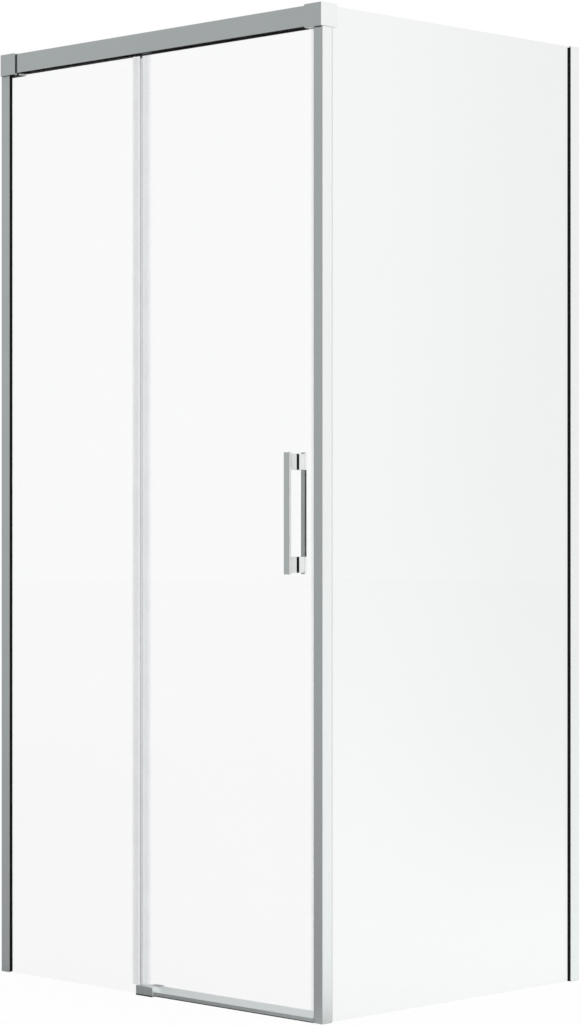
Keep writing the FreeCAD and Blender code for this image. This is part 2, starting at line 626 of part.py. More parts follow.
def corner_cap():
    """Cap that joins the rail, the post and the top corner of the side pane."""
    body = soft_block(CORNER_CAP_X0, SIDE_X, CAP_Y0, CORNER_CAP_Y1, CAP_Z0, HEIGHT, CAP_ROUND)
    pocket = block(CORNER_CAP_X0 - WALL, RAIL_X1 + CAP_FIT, RAIL_Y0 - CAP_FIT, RAIL_Y1 + CAP_FIT,
                   RAIL_Z0 - CAP_FIT, RAIL_Z1 + CAP_FIT)
    door_slot = block(CORNER_CAP_X0 - WALL, DOOR_X1 + SLOT_CLEAR, DOOR_Y0 - SLOT_CLEAR, LEDGE_Y0,
                      CAP_Z0 - WALL, RAIL_Z0 + WALL)
    pane = block(SIDE_INNER_X - TONGUE_CLEAR, SIDE_X - SIDE_RECESS + TONGUE_CLEAR, SIDE_Y0 - POCKET_CLEAR,
                 CORNER_CAP_Y1 + WALL, CAP_Z0 - WALL, SIDE_TOP + TONGUE_CLEAR)
    tongue = block(SIDE_X - POST_WIDTH + WALL + TONGUE_CLEAR, SIDE_X - WALL - TONGUE_CLEAR,
                   FACE_Y + WALL + TONGUE_CLEAR, FACE_Y + POST_CHAMBER - WALL - TONGUE_CLEAR,
                   CAP_Z0 - CAP_TONGUE, RAIL_Z0 - CAP_FIT)
    post_hole = rod_x(SMALL_SCREW, FACE_Y + POST_CHAMBER / 2, CAP_Z0 - SHADOW_GAP - CAP_TONGUE / 2,
                      SIDE_X - POST_WIDTH, SIDE_X - POST_WIDTH / 2)
    x, z = rail_screw_places()[3]
    shank = rod_y(SMALL_SCREW, x, z, RAIL_Y1 - WALL, CORNER_CAP_Y1)
    sink = rod_y(SMALL_HEAD, x, z, CORNER_CAP_Y1 - SMALL_HEAD_HEIGHT, CORNER_CAP_Y1 + WALL)
    return cut(fuse([body, tongue]), [pocket, door_slot, pane, post_hole, shank, sink])


# ---- panes ----
def fixed_glass():
    """Fixed pane, with the hole for the guide block's screw."""
    pane = block(FIXED_X0, FIXED_X1, FIXED_Y0, FIXED_Y1, 0, FIXED_TOP)
    hole = rod_y(GLASS_SCREW_SLEEVE, *glass_screw_place(), FIXED_Y0 - GLASS, FIXED_Y1 + GLASS)
    return pane.cut(hole)


def side_glass():
    """Side pane, frameless at its top and bottom."""
    return block(SIDE_INNER_X, SIDE_X - SIDE_RECESS, SIDE_Y0, SIDE_Y1, 0, SIDE_TOP)


def door_glass():
    """Sliding pane, with roller holes near the top and cut-outs for the handle sleeves."""
    pane = block(DOOR_X0, DOOR_X1, DOOR_Y0, DOOR_Y1, DOOR_GLASS_LIFT, DOOR_TOP)
    holes = [rod_y(BUSH_RADIUS + HOLE_CLEAR, x, AXLE_Z, DOOR_Y0 - GLASS, DOOR_Y1 + GLASS)
             for x in ROLLER_X.values()]
    inset = SLEEVE_INSET - HOLE_CLEAR
    holes += [prism(sleeve_outline(z, inset), in_xz(DOOR_Y0 - GLASS), Vector(0, 3 * GLASS, 0))
              for z in STANDOFF_Z]
    return cut(pane, holes)


# ---- seals ----
def fixed_edge_seal():
    """Clear seal on the free edge of the fixed pane, with a fin towards the door."""
    x0 = FIXED_X1 - EDGE_SEAL_LEG
    x1 = FIXED_X1 + EDGE_SEAL_NOSE
    fin_y = DOOR_Y0 - SEAL_FIN_CLEAR
    outline = [(x0, FIXED_Y0 - SEAL_WALL), (x1, FIXED_Y0 - SEAL_WALL), (x1, fin_y), (x1 - SEAL_FIN, fin_y),
               (x1 - SEAL_FIN, FIXED_Y1 + SEAL_WALL), (x0, FIXED_Y1 + SEAL_WALL), (x0, FIXED_Y1),
               (FIXED_X1, FIXED_Y1), (FIXED_X1, FIXED_Y0), (x0, FIXED_Y0)]
    z0 = THRESHOLD_HEIGHT + SEAL_FIN_CLEAR
    return prism(outline, in_xy(z0), Vector(0, 0, RAIL_Z0 - z0))


def door_overlap_seal():
    """Clear seal on the trailing edge of the door, with a fin towards the fixed pane."""
    x0 = DOOR_X0 - OVERLAP_SEAL_NOSE
    x1 = x0 + OVERLAP_SEAL_LEG
    fin_y = FIXED_Y1 + SEAL_FIN_CLEAR
    outline = [(x0, fin_y), (x0 + SEAL_FIN, fin_y), (x0 + SEAL_FIN, DOOR_Y0 - SEAL_WALL),
               (x1, DOOR_Y0 - SEAL_WALL), (x1, DOOR_Y0), (DOOR_X0, DOOR_Y0), (DOOR_X0, DOOR_Y1),
               (x1, DOOR_Y1), (x1, DOOR_Y1 + SEAL_WALL), (x0, DOOR_Y1 + SEAL_WALL)]
    return prism(outline, in_xy(SEAL_LIFT), Vector(0, 0, CAP_Z0 - SEAL_TOP_GAP - SEAL_LIFT))


def door_closing_seal():
    """Seal with a magnet on the closing edge of the door."""
    x0 = DOOR_X1 - CLOSING_SEAL_LEG
    x1 = SIDE_X - POST_WIDTH - MAGNET_STRIP - MAGNET_CLEAR
    outline = [(x0, DOOR_Y0 - SEAL_WALL), (DOOR_X1, DOOR_Y0 - SEAL_WALL), (x1, DOOR_Y0 - SEAL_WALL),
               (x1, DOOR_Y1 + SEAL_WALL), (x0, DOOR_Y1 + SEAL_WALL), (x0, DOOR_Y1), (DOOR_X1, DOOR_Y1),
               (DOOR_X1, DOOR_Y0), (x0, DOOR_Y0)]
    return prism(outline, in_xy(SEAL_LIFT), Vector(0, 0, CAP_Z0 - SEAL_TOP_GAP - SEAL_LIFT))


def door_bottom_seal():
    """Clear drip seal clipped on the bottom edge of the door."""
    z1 = DOOR_GLASS_LIFT + BOTTOM_SEAL_CLIP
    z0 = DOOR_GLASS_LIFT - SEAL_WALL
    y0 = DOOR_Y0 - SEAL_WALL
    y1 = DOOR_Y1 + SEAL_WALL
    lip_y = y1 - BOTTOM_SEAL_LIP
    outline = [(y0, z0), (lip_y, z0), (lip_y, z0 - BOTTOM_SEAL_DROP), (y1, z0 - BOTTOM_SEAL_DROP), (y1, z1),
               (DOOR_Y1, z1), (DOOR_Y1, DOOR_GLASS_LIFT), (DOOR_Y0, DOOR_GLASS_LIFT), (DOOR_Y0, z1), (y0, z1)]
    x0 = DOOR_X0 - OVERLAP_SEAL_NOSE + OVERLAP_SEAL_LEG + BOTTOM_SEAL_INSET
    x1 = DOOR_X1 - CLOSING_SEAL_LEG - BOTTOM_SEAL_INSET
    return prism(outline, in_yz(x0), Vector(x1 - x0, 0, 0))


# ---- threshold and guide ----
def threshold_bar():
    """Hollow bar across the doorway, with a low lip and a slope up to a ridge before the door."""
    wall = THRESHOLD_WALL
    y0 = THRESHOLD_Y0
    y1 = THRESHOLD_Y1
    ridge_y = y1 - THRESHOLD_RIDGE
    outer = [(y0, 0), (y0, THRESHOLD_LIP, wall / 2), (ridge_y, THRESHOLD_HEIGHT, wall / 4),
             (y1, THRESHOLD_HEIGHT, wall / 4), (y1, 0)]
    inner = [(y0 + wall, -wall), (y0 + wall, THRESHOLD_LIP - wall / 2),
             (y1 - wall, THRESHOLD_HEIGHT - 2 * wall), (y1 - wall, -wall)]
    span = SIDE_X - POST_WIDTH - GUIDE_X1
    body = prism(outer, in_yz(GUIDE_X1), Vector(span, 0, 0))
    return body.cut(prism(inner, in_yz(GUIDE_X1 - wall), Vector(span + 2 * wall, 0, 0)))


def glass_screw_place():
    """(x, z) of the screw that holds the guide block to the fixed pane."""
    return FIXED_X1 - GUIDE_LEFT / 2, GLASS_SCREW_HEIGHT


def guide_cover():
    """Visible cover of the guide block, stepped around the corner of the fixed pane."""
    pane_y = FIXED_Y0 - GUIDE_FIT
    outline = [(GUIDE_X0, GUIDE_Y0, EDGE_ROUND), (GUIDE_X1, GUIDE_Y0, EDGE_ROUND), (GUIDE_X1, GUIDE_Y1),
               (GUIDE_STEP_X, GUIDE_Y1), (GUIDE_STEP_X, pane_y), (GUIDE_X0, pane_y)]
    body = prism(outline, in_xy(0), Vector(0, 0, GUIDE_HEIGHT))
    top = GUIDE_HEIGHT - WALL
    front = block(GUIDE_X0 + WALL, GUIDE_X1 - WALL, GUIDE_Y0 + WALL, FIXED_Y0, -WALL, top)
    rear = block(GUIDE_STEP_X + WALL, GUIDE_X1 - WALL, GUIDE_Y0 + WALL, GUIDE_Y1 + WALL, -WALL, top)
    return cut(body, [front, rear])


def guide_body():
    """Moulded guide: a core in the cover, a foot under the door and a jaw on each side of it."""
    x0 = GUIDE_X0 + WALL + GUIDE_FIT
    x1 = GUIDE_X1 - WALL - GUIDE_FIT
    y0 = GUIDE_Y0 + WALL + GUIDE_FIT
    step_x = GUIDE_STEP_X + WALL + GUIDE_FIT
    core = block(x0, x1, y0, FIXED_Y0 - GUIDE_FIT, 0, GUIDE_HEIGHT - WALL)
    foot = block(step_x, x1, FIXED_Y0 - GLASS, JAW_REAR + REAR_JAW, 0, GUIDE_FOOT)
    front_jaw = block(step_x, x1, JAW_FRONT - JAW_WIDTH, JAW_FRONT, 0, THRESHOLD_HEIGHT)
    rear_jaw = block(step_x, x1, JAW_REAR, JAW_REAR + REAR_JAW, 0, THRESHOLD_HEIGHT)
    screw = rod_y(GLASS_SCREW_RADIUS, *glass_screw_place(), FIXED_Y0 - GLASS_SCREW_GRIP, FIXED_Y1)
    return fuse([core, foot, front_jaw, rear_jaw]).cut(screw)


def guide_pads():
    """Thin low-friction pads on the two jaws."""
    x0 = GUIDE_STEP_X + WALL + PAD_INSET
    x1 = GUIDE_X1 - WALL - PAD_INSET
    z0 = DOOR_GLASS_LIFT + PAD_INSET / 2
    z1 = THRESHOLD_HEIGHT - PAD_INSET / 2
    return group([block(x0, x1, JAW_FRONT, JAW_FRONT + PAD / 2, z0, z1),
                  block(x0, x1, JAW_REAR - PAD / 2, JAW_REAR, z0, z1)])


def guide_screw():
    """Screw from behind the fixed pane into the guide block."""
    x, z = glass_screw_place()
    shank = rod_y(GLASS_SCREW_RADIUS, x, z, FIXED_Y0 - GLASS_SCREW_GRIP, FIXED_Y1)
    head = rod_y(GLASS_SCREW_HEAD, x, z, FIXED_Y1, FIXED_Y1 + SMALL_HEAD_HEIGHT)
    return fuse([shank, head])


def guide_sleeve():
    """Soft sleeve around that screw in the hole of the fixed pane."""
    x, z = glass_screw_place()
    sleeve = rod_y(GLASS_SCREW_SLEEVE, x, z, FIXED_Y0, FIXED_Y1)
    return sleeve.cut(rod_y(GLASS_SCREW_RADIUS, x, z, FIXED_Y0 - GLASS, FIXED_Y1 + GLASS))


# ---- rollers ----
def ring(outer, inner, x, y0, y1):
    """A ring around a roller axle."""
    return rod_y(outer, x, AXLE_Z, y0, y1).cut(rod_y(inner, x, AXLE_Z, y0 - RING_WIDTH, y1 + RING_WIDTH))


def roller_tyre(x):
    """Grooved nylon tyre that runs on the track."""
    half = TYRE_WIDTH / 2
    tread = TRACK_WIDTH / 2 + TREAD_CLEAR
    groove = TRACK_WIDTH / 2 + FLANGE_HEIGHT / 2
    outline = [(-half, BEARING_RADIUS), (-half, FLANGE_RADIUS), (-groove, FLANGE_RADIUS),
               (-tread, TREAD_RADIUS), (tread, TREAD_RADIUS), (groove, FLANGE_RADIUS),
               (half, FLANGE_RADIUS), (half, BEARING_RADIUS)]
    corners = [Vector(x, AXLE_Y + across, AXLE_Z + radius) for across, radius in outline]
    face = Part.Face(Part.makePolygon(corners + corners[:1]))
    return face.revolve(Vector(x, AXLE_Y, AXLE_Z), Vector(0, 1, 0), 360)


def roller_bearing(x):
    """Outer ring and shields of the ball bearing."""
    half = BEARING_WIDTH / 2
    return ring(BEARING_RADIUS, RING_RADIUS + RING_CLEAR, x, AXLE_Y - half, AXLE_Y + half)


def bearing_rings():
    """Inner rings, clamped on the bolts."""
    return group([ring(RING_RADIUS, BOLT_RADIUS, x, AXLE_Y - RING_WIDTH / 2, AXLE_Y + RING_WIDTH / 2)
                  for x in ROLLER_X.values()])


def roller_spacers():
    """Spacers between the door glass and the bearings."""
    return group([ring(SPACER_RADIUS, BOLT_RADIUS, x, DOOR_Y1, DOOR_Y1 + SPACER_WIDTH)
                  for x in ROLLER_X.values()])


def roller_bushes():
    """Flanged bushes in the holes of the door glass."""
    bushes = []
    for x in ROLLER_X.values():
        sleeve = ring(BUSH_RADIUS, BOLT_RADIUS, x, DOOR_Y0 - BUSH_FLANGE, DOOR_Y1)
        flange = ring(BUSH_FLANGE_RADIUS, BOLT_RADIUS, x, DOOR_Y0 - BUSH_FLANGE, DOOR_Y0)
        bushes.append(fuse([sleeve, flange]))
    return group(bushes)


def roller_bolts():
    """Shoulder bolts that carry the rollers."""
    head_y = AXLE_Y + RING_WIDTH / 2
    bolts = []
    for x in ROLLER_X.values():
        shank = rod_y(BOLT_RADIUS, x, AXLE_Z, DOOR_Y0 - BUSH_FLANGE - NUT_HEIGHT, head_y)
        head = rod_y(BOLT_HEAD_RADIUS, x, AXLE_Z, head_y, head_y + BOLT_HEAD_HEIGHT)
        bolts.append(fuse([shank, head]))
    return group(bolts)


def roller_nuts():
    """Thin hexagon nuts on the front of the door glass."""
    y1 = DOOR_Y0 - BUSH_FLANGE
    radius = NUT_ACROSS / math.sqrt(3)
    nuts = []
    for x in ROLLER_X.values():
        turns = [i * math.pi / 3 for i in range(6)]
        corners = [(x + radius * math.cos(turn), AXLE_Z + radius * math.sin(turn)) for turn in turns]
        nut = prism(corners, in_xz(y1 - NUT_HEIGHT), Vector(0, NUT_HEIGHT, 0))
        nuts.append(nut.cut(rod_y(BOLT_RADIUS, x, AXLE_Z, y1 - 2 * NUT_HEIGHT, y1 + NUT_HEIGHT)))
    return group(nuts)


# ---- handle ----
def handle_bar(y0, width):
    """One grip bar, flush with the closing side of the standoffs."""
    x1 = HANDLE_X + HANDLE_WIDTH / 2
    z0 = HANDLE_HEIGHT - HANDLE_LENGTH / 2
    return soft_block(x1 - width, x1, y0, y0 + HANDLE_BAR, z0, z0 + HANDLE_LENGTH, HANDLE_ROUND)


def standoff_reach():
    """How far a bar stands off the door glass."""
    return SLEEVE_FLANGE + STANDOFF_LENGTH


def stud_span():
    """Y span of the studs that join the outer and inner standoffs."""
    return DOOR_Y0 - STUD_GRIP, DOOR_Y1 + STUD_GRIP


def handle_standoffs(y0, tapped):
    """The two standoffs of one side, bored for the studs and tapped for the grub screws."""
    x0 = HANDLE_X - HANDLE_WIDTH / 2
    blocks = []
    for z in STANDOFF_Z:
        z0 = z - STANDOFF_HEIGHT / 2
        outline = rectangle(x0, x0 + HANDLE_WIDTH, z0, z0 + STANDOFF_HEIGHT, HANDLE_ROUND)
        body = prism(outline, in_xz(y0), Vector(0, STANDOFF_LENGTH, 0))
        bores = [rod_y(STUD_RADIUS, HANDLE_X, z, *stud_span())]
        if tapped:
            bores.append(grub_rod(z))
        blocks.append(cut(body, bores))
    return group(blocks)


def grub_rod(z):
    """Body of one grub screw, from the side of the inner standoff to its stud."""
    y = DOOR_Y1 + SLEEVE_FLANGE + STUD_GRIP / 2
    return rod_x(GRUB_RADIUS, y, z, HANDLE_X - HANDLE_WIDTH / 2, HANDLE_X - STUD_RADIUS)


def handle_grub_screws():
    """Grub screws that lock the inner standoffs on the studs."""
    return group([grub_rod(z).cut(rod_y(STUD_RADIUS, HANDLE_X, z, *stud_span())) for z in STANDOFF_Z])


def sleeve_outline(z, inset):
    """Outline of a handle sleeve in the door glass."""
    half_x = HANDLE_WIDTH / 2 - inset
    half_z = STANDOFF_HEIGHT / 2 - inset
    return rectangle(HANDLE_X - half_x, HANDLE_X + half_x, z - half_z, z + half_z, HANDLE_ROUND + WALL)


def handle_sleeves():
    """Black flanged sleeves in the cut-outs of the door glass."""
    sleeves = []
    for z in STANDOFF_Z:
        core = prism(sleeve_outline(z, SLEEVE_INSET), in_xz(DOOR_Y0), Vector(0, GLASS, 0))
        flanges = [prism(sleeve_outline(z, 0.0), in_xz(y), Vector(0, SLEEVE_FLANGE, 0))
                   for y in (DOOR_Y0 - SLEEVE_FLANGE, DOOR_Y1)]
        sleeves.append(fuse([core] + flanges).cut(rod_y(STUD_RADIUS, HANDLE_X, z, *stud_span())))
    return group(sleeves)


def handle_studs():
    """Threaded studs between the outer and inner standoffs."""
    return group([rod_y(STUD_RADIUS, HANDLE_X, z, *stud_span()) for z in STANDOFF_Z])


def parts():
    """Every sub-part by the name of its node."""
    front_height = CAP_Z0
    side_height = SIDE_TOP - END_CAP
    nodes = {
        "wall_channel_front": wall_channel(front_wall, front_height),
        "wall_profile_front": wall_profile(front_wall, FRONT_RECESS, front_height),
        "wall_profile_front_screws": profile_screws(front_wall, front_height),
        "front_gasket_outer": outer_gasket(front_wall, FRONT_RECESS, GASKET_SHORT, front_height, WALL_BEAD),
        "front_gasket_inner": inner_gasket(front_wall, FRONT_RECESS, GASKET_SHORT, front_height, LIP_SETBACK),
        "wall_channel_side": wall_channel(side_wall, side_height),
        "wall_profile_side": wall_profile(side_wall, SIDE_RECESS, side_height),
        "wall_profile_side_screws": profile_screws(side_wall, side_height),
        "wall_profile_side_cap": side_profile_cap(side_height),
        "side_gasket_outer": outer_gasket(side_wall, SIDE_RECESS, GASKET_SHORT, side_height, WALL_BEAD),
        "side_gasket_inner": inner_gasket(side_wall, SIDE_RECESS, GASKET_SHORT, side_height, LIP_SETBACK),
        "corner_post": corner_post(),
        "corner_post_screw": post_screw(),
        "corner_post_magnet": post_magnet(),
        "post_gasket_outer": outer_gasket(post_lips, SIDE_RECESS, GASKET_SHORT, CAP_Z0 - SHADOW_GAP,
                                          POST_BEAD),
        "post_gasket_inner": inner_gasket(post_lips, SIDE_RECESS, GASKET_SHORT, CAP_Z0 - SHADOW_GAP, 0.0),
        "fixed_glass": fixed_glass(),
        "fixed_glass_edge_seal": fixed_edge_seal(),
        "side_glass": side_glass(),
        "head_rail": head_rail(),
        "head_rail_joint": rail_joint(),
        "head_rail_wall_cap": wall_cap(),
        "head_rail_wall_cap_screw": wall_cap_screw(),
        "head_rail_corner_cap": corner_cap(),
        "head_rail_screws": rail_screws(),
        "head_rail_glazing_strip": glazing_strip(),
        "head_rail_infill_strip": infill_strip(),
        "door_stops": door_stops(),
        "door_stop_buffers": stop_buffers(),
        "threshold_bar": threshold_bar(),
        "door_guide_cover": guide_cover(),
        "door_guide_body": guide_body(),
        "door_guide_pads": guide_pads(),
        "door_guide_screw": guide_screw(),
        "door_guide_sleeve": guide_sleeve(),
        "door_glass": door_glass(),
        "door_overlap_seal": door_overlap_seal(),
        "door_closing_seal": door_closing_seal(),
        "door_bottom_seal": door_bottom_seal(),
        "handle_outer_bar": handle_bar(DOOR_Y0 - standoff_reach() - HANDLE_BAR, HANDLE_WIDTH),
        "handle_inner_bar": handle_bar(DOOR_Y1 + standoff_reach(), INNER_BAR_WIDTH),
        "handle_outer_standoffs": handle_standoffs(DOOR_Y0 - standoff_reach(), False),
        "handle_inner_standoffs": handle_standoffs(DOOR_Y1 + SLEEVE_FLANGE, True),
        "handle_sleeves": handle_sleeves(),
        "handle_studs": handle_studs(),
        "handle_grub_screws": handle_grub_screws(),
        "roller_bolts": roller_bolts(),
        "roller_nuts": roller_nuts(),
        "roller_bushes": roller_bushes(),
        "roller_spacers": roller_spacers(),
        "roller_bearing_rings": bearing_rings(),
    }
    for side, x in ROLLER_X.items():
        nodes["roller_" + side + "_tyre"] = roller_tyre(x)
        nodes["roller_" + side + "_bearing"] = roller_bearing(x)
    return nodes


os.makedirs("parts", exist_ok=True)
for node, shape in parts().items():
    shape.exportStep("parts/" + node + ".step")
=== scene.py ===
"""Looks of a corner shower enclosure with a sliding door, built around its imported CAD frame."""
import logging
import math
from dataclasses import dataclass, field
from enum import Enum
from functools import cached_property
from typing import Callable, Sequence

import bmesh
import bpy
from bpy.types import ID, Material, Mesh, MeshPolygon, Node, NodeSocket, NodeTree, Object, World
from mathutils import Matrix, Vector


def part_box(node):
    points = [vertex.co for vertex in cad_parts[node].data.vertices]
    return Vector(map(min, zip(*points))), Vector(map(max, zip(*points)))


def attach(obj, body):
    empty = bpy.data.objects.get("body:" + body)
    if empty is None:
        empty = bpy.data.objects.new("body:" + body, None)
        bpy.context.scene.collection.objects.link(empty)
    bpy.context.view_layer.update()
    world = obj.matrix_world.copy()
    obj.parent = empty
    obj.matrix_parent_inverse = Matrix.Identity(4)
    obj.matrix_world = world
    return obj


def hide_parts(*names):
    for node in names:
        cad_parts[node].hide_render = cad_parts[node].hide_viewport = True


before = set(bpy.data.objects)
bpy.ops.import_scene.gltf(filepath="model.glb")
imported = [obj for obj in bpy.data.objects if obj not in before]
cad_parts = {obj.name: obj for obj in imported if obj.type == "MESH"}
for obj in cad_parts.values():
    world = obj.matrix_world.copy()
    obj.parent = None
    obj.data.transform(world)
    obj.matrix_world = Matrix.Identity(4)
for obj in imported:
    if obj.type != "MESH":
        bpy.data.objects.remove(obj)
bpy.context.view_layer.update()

LOG = logging.getLogger("shower_enclosure")
MM = 0.001
SAME_SPOT = 2e-6        # metres within which two corners of a CAD mesh are one
FLAT_DEGREES = 0.6      # bend below which two faces of a CAD mesh are one
SHARP_DEGREES = 50.0    # bend above which an edge is shaded sharp
BROKEN_DEGREES = 35.0   # bend above which an edge of a CAD solid is broken
FACING = 0.9            # cosine above which a face counts as looking along an axis
FINE_RELIEF = 0.00005   # depth of a fine surface, in metres
COARSE_RELIEF = 0.0001  # depth of a moulded surface, in metres

Colour = tuple[float, float, float]
Point2 = tuple[float, float]
Point3 = tuple[float, float, float]

FLOAT = "NodeSocketFloat"
VECTOR = "NodeSocketVector"
GEOMETRY = "NodeSocketGeometry"
WHITE: Colour = (1.0, 1.0, 1.0)


class Axis(Enum):
    """Direction that a piece runs along."""

    X = 0
    Y = 1
    Z = 2


# ---------------------------------------------------------------- node helpers


class Nodes:
    """Short calls for building a node tree."""

    def __init__(self, tree: NodeTree) -> None:
        """Keep the tree that nodes are added to."""
        self.tree = tree

    def add(self, kind: str, feeds: dict[int | str, object] | None = None, **settings: object) -> Node:
        """Add a node.

        Args:
            kind: Blender's identifier of the node type.
            feeds: what goes into its inputs, by their name or number.
            **settings: properties of the node, set by name.

        Returns:
            The new node.
        """
        node = self.tree.nodes.new(kind)
        for name, value in settings.items():
            setattr(node, name, value)
        for key, source in (feeds or {}).items():
            self.feed(node.inputs[key], source)
        return node

    def feed(self, target: NodeSocket, source: object) -> None:
        """Link a socket to another one, or write a constant on it."""
        if isinstance(source, NodeSocket):
            self.tree.links.new(source, target)
        else:
            target.default_value = source

    def math(self, operation: str, a: object, b: object = 0.0, clamp: bool = False) -> NodeSocket:
        """Add a Math node and return its value."""
        return self.add("ShaderNodeMath", {0: a, 1: b}, operation=operation, use_clamp=clamp).outputs[0]

    def ramp(self, value: object, low: float, high: float, start: float, end: float) -> NodeSocket:
        """Smoothly map value from low..high to start..end."""
        return self.add("ShaderNodeMapRange", {0: value, 1: low, 2: high, 3: start, 4: end},
                        interpolation_type="SMOOTHSTEP").outputs[0]

    def noise(self, vector: object, scale: object, detail: float, roughness: float) -> NodeSocket:
        """Add a noise texture and return its factor."""
        feeds = {"Vector": vector, "Scale": scale, "Detail": detail, "Roughness": roughness}
        return self.add("ShaderNodeTexNoise", feeds, noise_dimensions="3D").outputs[0]

    def blend(self, factor: object, low: object, high: object) -> NodeSocket:
        """Mix two colours."""
        return self.add("ShaderNodeMix", {0: factor, 6: low, 7: high}, data_type="RGBA").outputs[2]

    def mix(self, factor: object, low: Node, high: Node) -> Node:
        """Mix what two shader nodes put out."""
        return self.add("ShaderNodeMixShader", {0: factor, 1: low.outputs[0], 2: high.outputs[0]})

    def place(self) -> NodeSocket:
        """Object coordinates of the shaded point."""
        return self.add("ShaderNodeTexCoord").outputs["Object"]


def emptied(owner: Material | World) -> Nodes:
    """Turn on the nodes of a material or world, without the ones it comes with."""
    owner.use_nodes = True
    owner.node_tree.nodes.clear()
    return Nodes(owner.node_tree)


def new_tree(kind: str, name: str, inputs: Sequence[tuple[str, str, object]],
             outputs: Sequence[tuple[str, str]]) -> tuple[Nodes, dict, dict]:
    """Create a node tree with named sockets.

    Args:
        kind: Blender's identifier of the tree type.
        name: name of the tree.
        inputs: (name, socket type, default value) of each input; None leaves the default alone.
        outputs: (name, socket type) of each output.

    Returns:
        The tree's node helper, and what comes in and goes out by name.
    """
    tree = bpy.data.node_groups.new(name, kind)
    for label, socket_type, value in inputs:
        socket = tree.interface.new_socket(label, in_out="INPUT", socket_type=socket_type)
        if value is not None:
            socket.default_value = value
    for label, socket_type in outputs:
        tree.interface.new_socket(label, in_out="OUTPUT", socket_type=socket_type)
    nodes = Nodes(tree)
    entry, leave = nodes.add("NodeGroupInput"), nodes.add("NodeGroupOutput")
    return nodes, {s.name: s for s in entry.outputs}, {s.name: s for s in leave.inputs}


def rgba(colour: Colour) -> tuple[float, float, float, float]:
    """Add full opacity to a colour."""
    return (*colour, 1.0)


# ---------------------------------------------------------------- shared surface effects


@dataclass
class SurfaceGroups:
    """Shader node groups shared by the finishes, each built at its first use; scales are per metre."""

    sparkle_scale: float = 1900.0
    grain_cloud_scale: float = 9.0
    skin_cloud_scale: float = 25.0
    skin_roughness: float = 0.15
    fine_marks: float = 14.0
    wide_share: float = 0.7
    fine_share: float = 0.3
    mark_range: Point2 = (0.42, 0.66)
    skin_outputs: tuple[tuple[str, str], ...] = (("Tone", FLOAT), ("Roughness", FLOAT), ("Height", FLOAT))

    @cached_property
    def grain(self) -> NodeTree:
        """Fine lines along an extrusion with the sparkle of an anodised surface.

        Returns:
            A group with Tone, Roughness and Height outputs.
        """
        n, source, target = new_tree("ShaderNodeTree", "metal_grain", (
            ("Stretch", VECTOR, (600.0, 600.0, 8.0)), ("Tone", FLOAT, 0.05), ("Roughness", FLOAT, 0.35),
            ("Variation", FLOAT, 0.08)), self.skin_outputs)
        place = n.place()
        stretched = n.add("ShaderNodeVectorMath", {0: place, 1: source["Stretch"]}, operation="MULTIPLY")
        lines = n.noise(stretched.outputs[0], 1.0, detail=3.0, roughness=0.65)
        sparkle = n.noise(place, self.sparkle_scale, detail=1.0, roughness=0.5)
        cloud = n.noise(place, self.grain_cloud_scale, detail=3.0, roughness=0.55)
        mixed = n.math("ADD", n.math("MULTIPLY", lines, 0.5), n.math("MULTIPLY", sparkle, 0.5))
        centred = n.math("MULTIPLY", n.math("SUBTRACT", mixed, 0.5), 2.0)
        soft = n.math("ADD", n.math("SUBTRACT", cloud, 0.5), n.math("MULTIPLY", centred, 0.5))
        n.feed(target["Tone"], n.math("ADD", n.math("MULTIPLY", centred, source["Tone"]), 1.0))
        uneven = n.math("MULTIPLY", soft, source["Variation"])
        n.feed(target["Roughness"], n.math("ADD", uneven, source["Roughness"], clamp=True))
        n.feed(target["Height"], mixed)
        return n.tree

    @cached_property
    def film(self) -> NodeTree:
        """Faint wipe marks and water film on glass.

        Returns:
            A group with Mask and Roughness outputs.
        """
        n, source, target = new_tree("ShaderNodeTree", "wipe_film", (
            ("Scale", FLOAT, 3.0), ("Roughness", FLOAT, 0.02), ("Amount", FLOAT, 0.03)),
            (("Mask", FLOAT), ("Roughness", FLOAT)))
        place = n.place()
        wide = n.noise(place, source["Scale"], detail=4.0, roughness=0.6)
        fine_scale = n.math("MULTIPLY", source["Scale"], self.fine_marks)
        fine = n.noise(place, fine_scale, detail=3.0, roughness=0.6)
        marks = n.math("ADD", n.math("MULTIPLY", wide, self.wide_share),
                       n.math("MULTIPLY", fine, self.fine_share))
        mask = n.ramp(marks, *self.mark_range, 0.0, 1.0)
        n.feed(target["Mask"], mask)
        dulled = n.math("MULTIPLY", mask, source["Amount"])
        n.feed(target["Roughness"], n.math("ADD", dulled, source["Roughness"]))
        return n.tree

    @cached_property
    def pores(self) -> NodeTree:
        """Fine skin of moulded plastic and rubber.

        Returns:
            A group with Tone, Roughness and Height outputs.
        """
        n, source, target = new_tree("ShaderNodeTree", "moulded_skin", (
            ("Scale", FLOAT, 900.0), ("Tone", FLOAT, 0.1), ("Roughness", FLOAT, 0.5)), self.skin_outputs)
        place = n.place()
        skin = n.noise(place, source["Scale"], detail=2.0, roughness=0.6)
        cloud = n.noise(place, self.skin_cloud_scale, detail=3.0, roughness=0.5)
        tone = n.math("MULTIPLY", n.math("SUBTRACT", cloud, 0.5), source["Tone"])
        rough = n.math("MULTIPLY", n.math("SUBTRACT", skin, 0.5), self.skin_roughness)
        n.feed(target["Tone"], n.math("ADD", n.math("MULTIPLY", tone, 2.0), 1.0))
        n.feed(target["Roughness"], n.math("ADD", rough, source["Roughness"], clamp=True))
        n.feed(target["Height"], skin)
        return n.tree


GROUPS = SurfaceGroups()


# ---------------------------------------------------------------- finishes


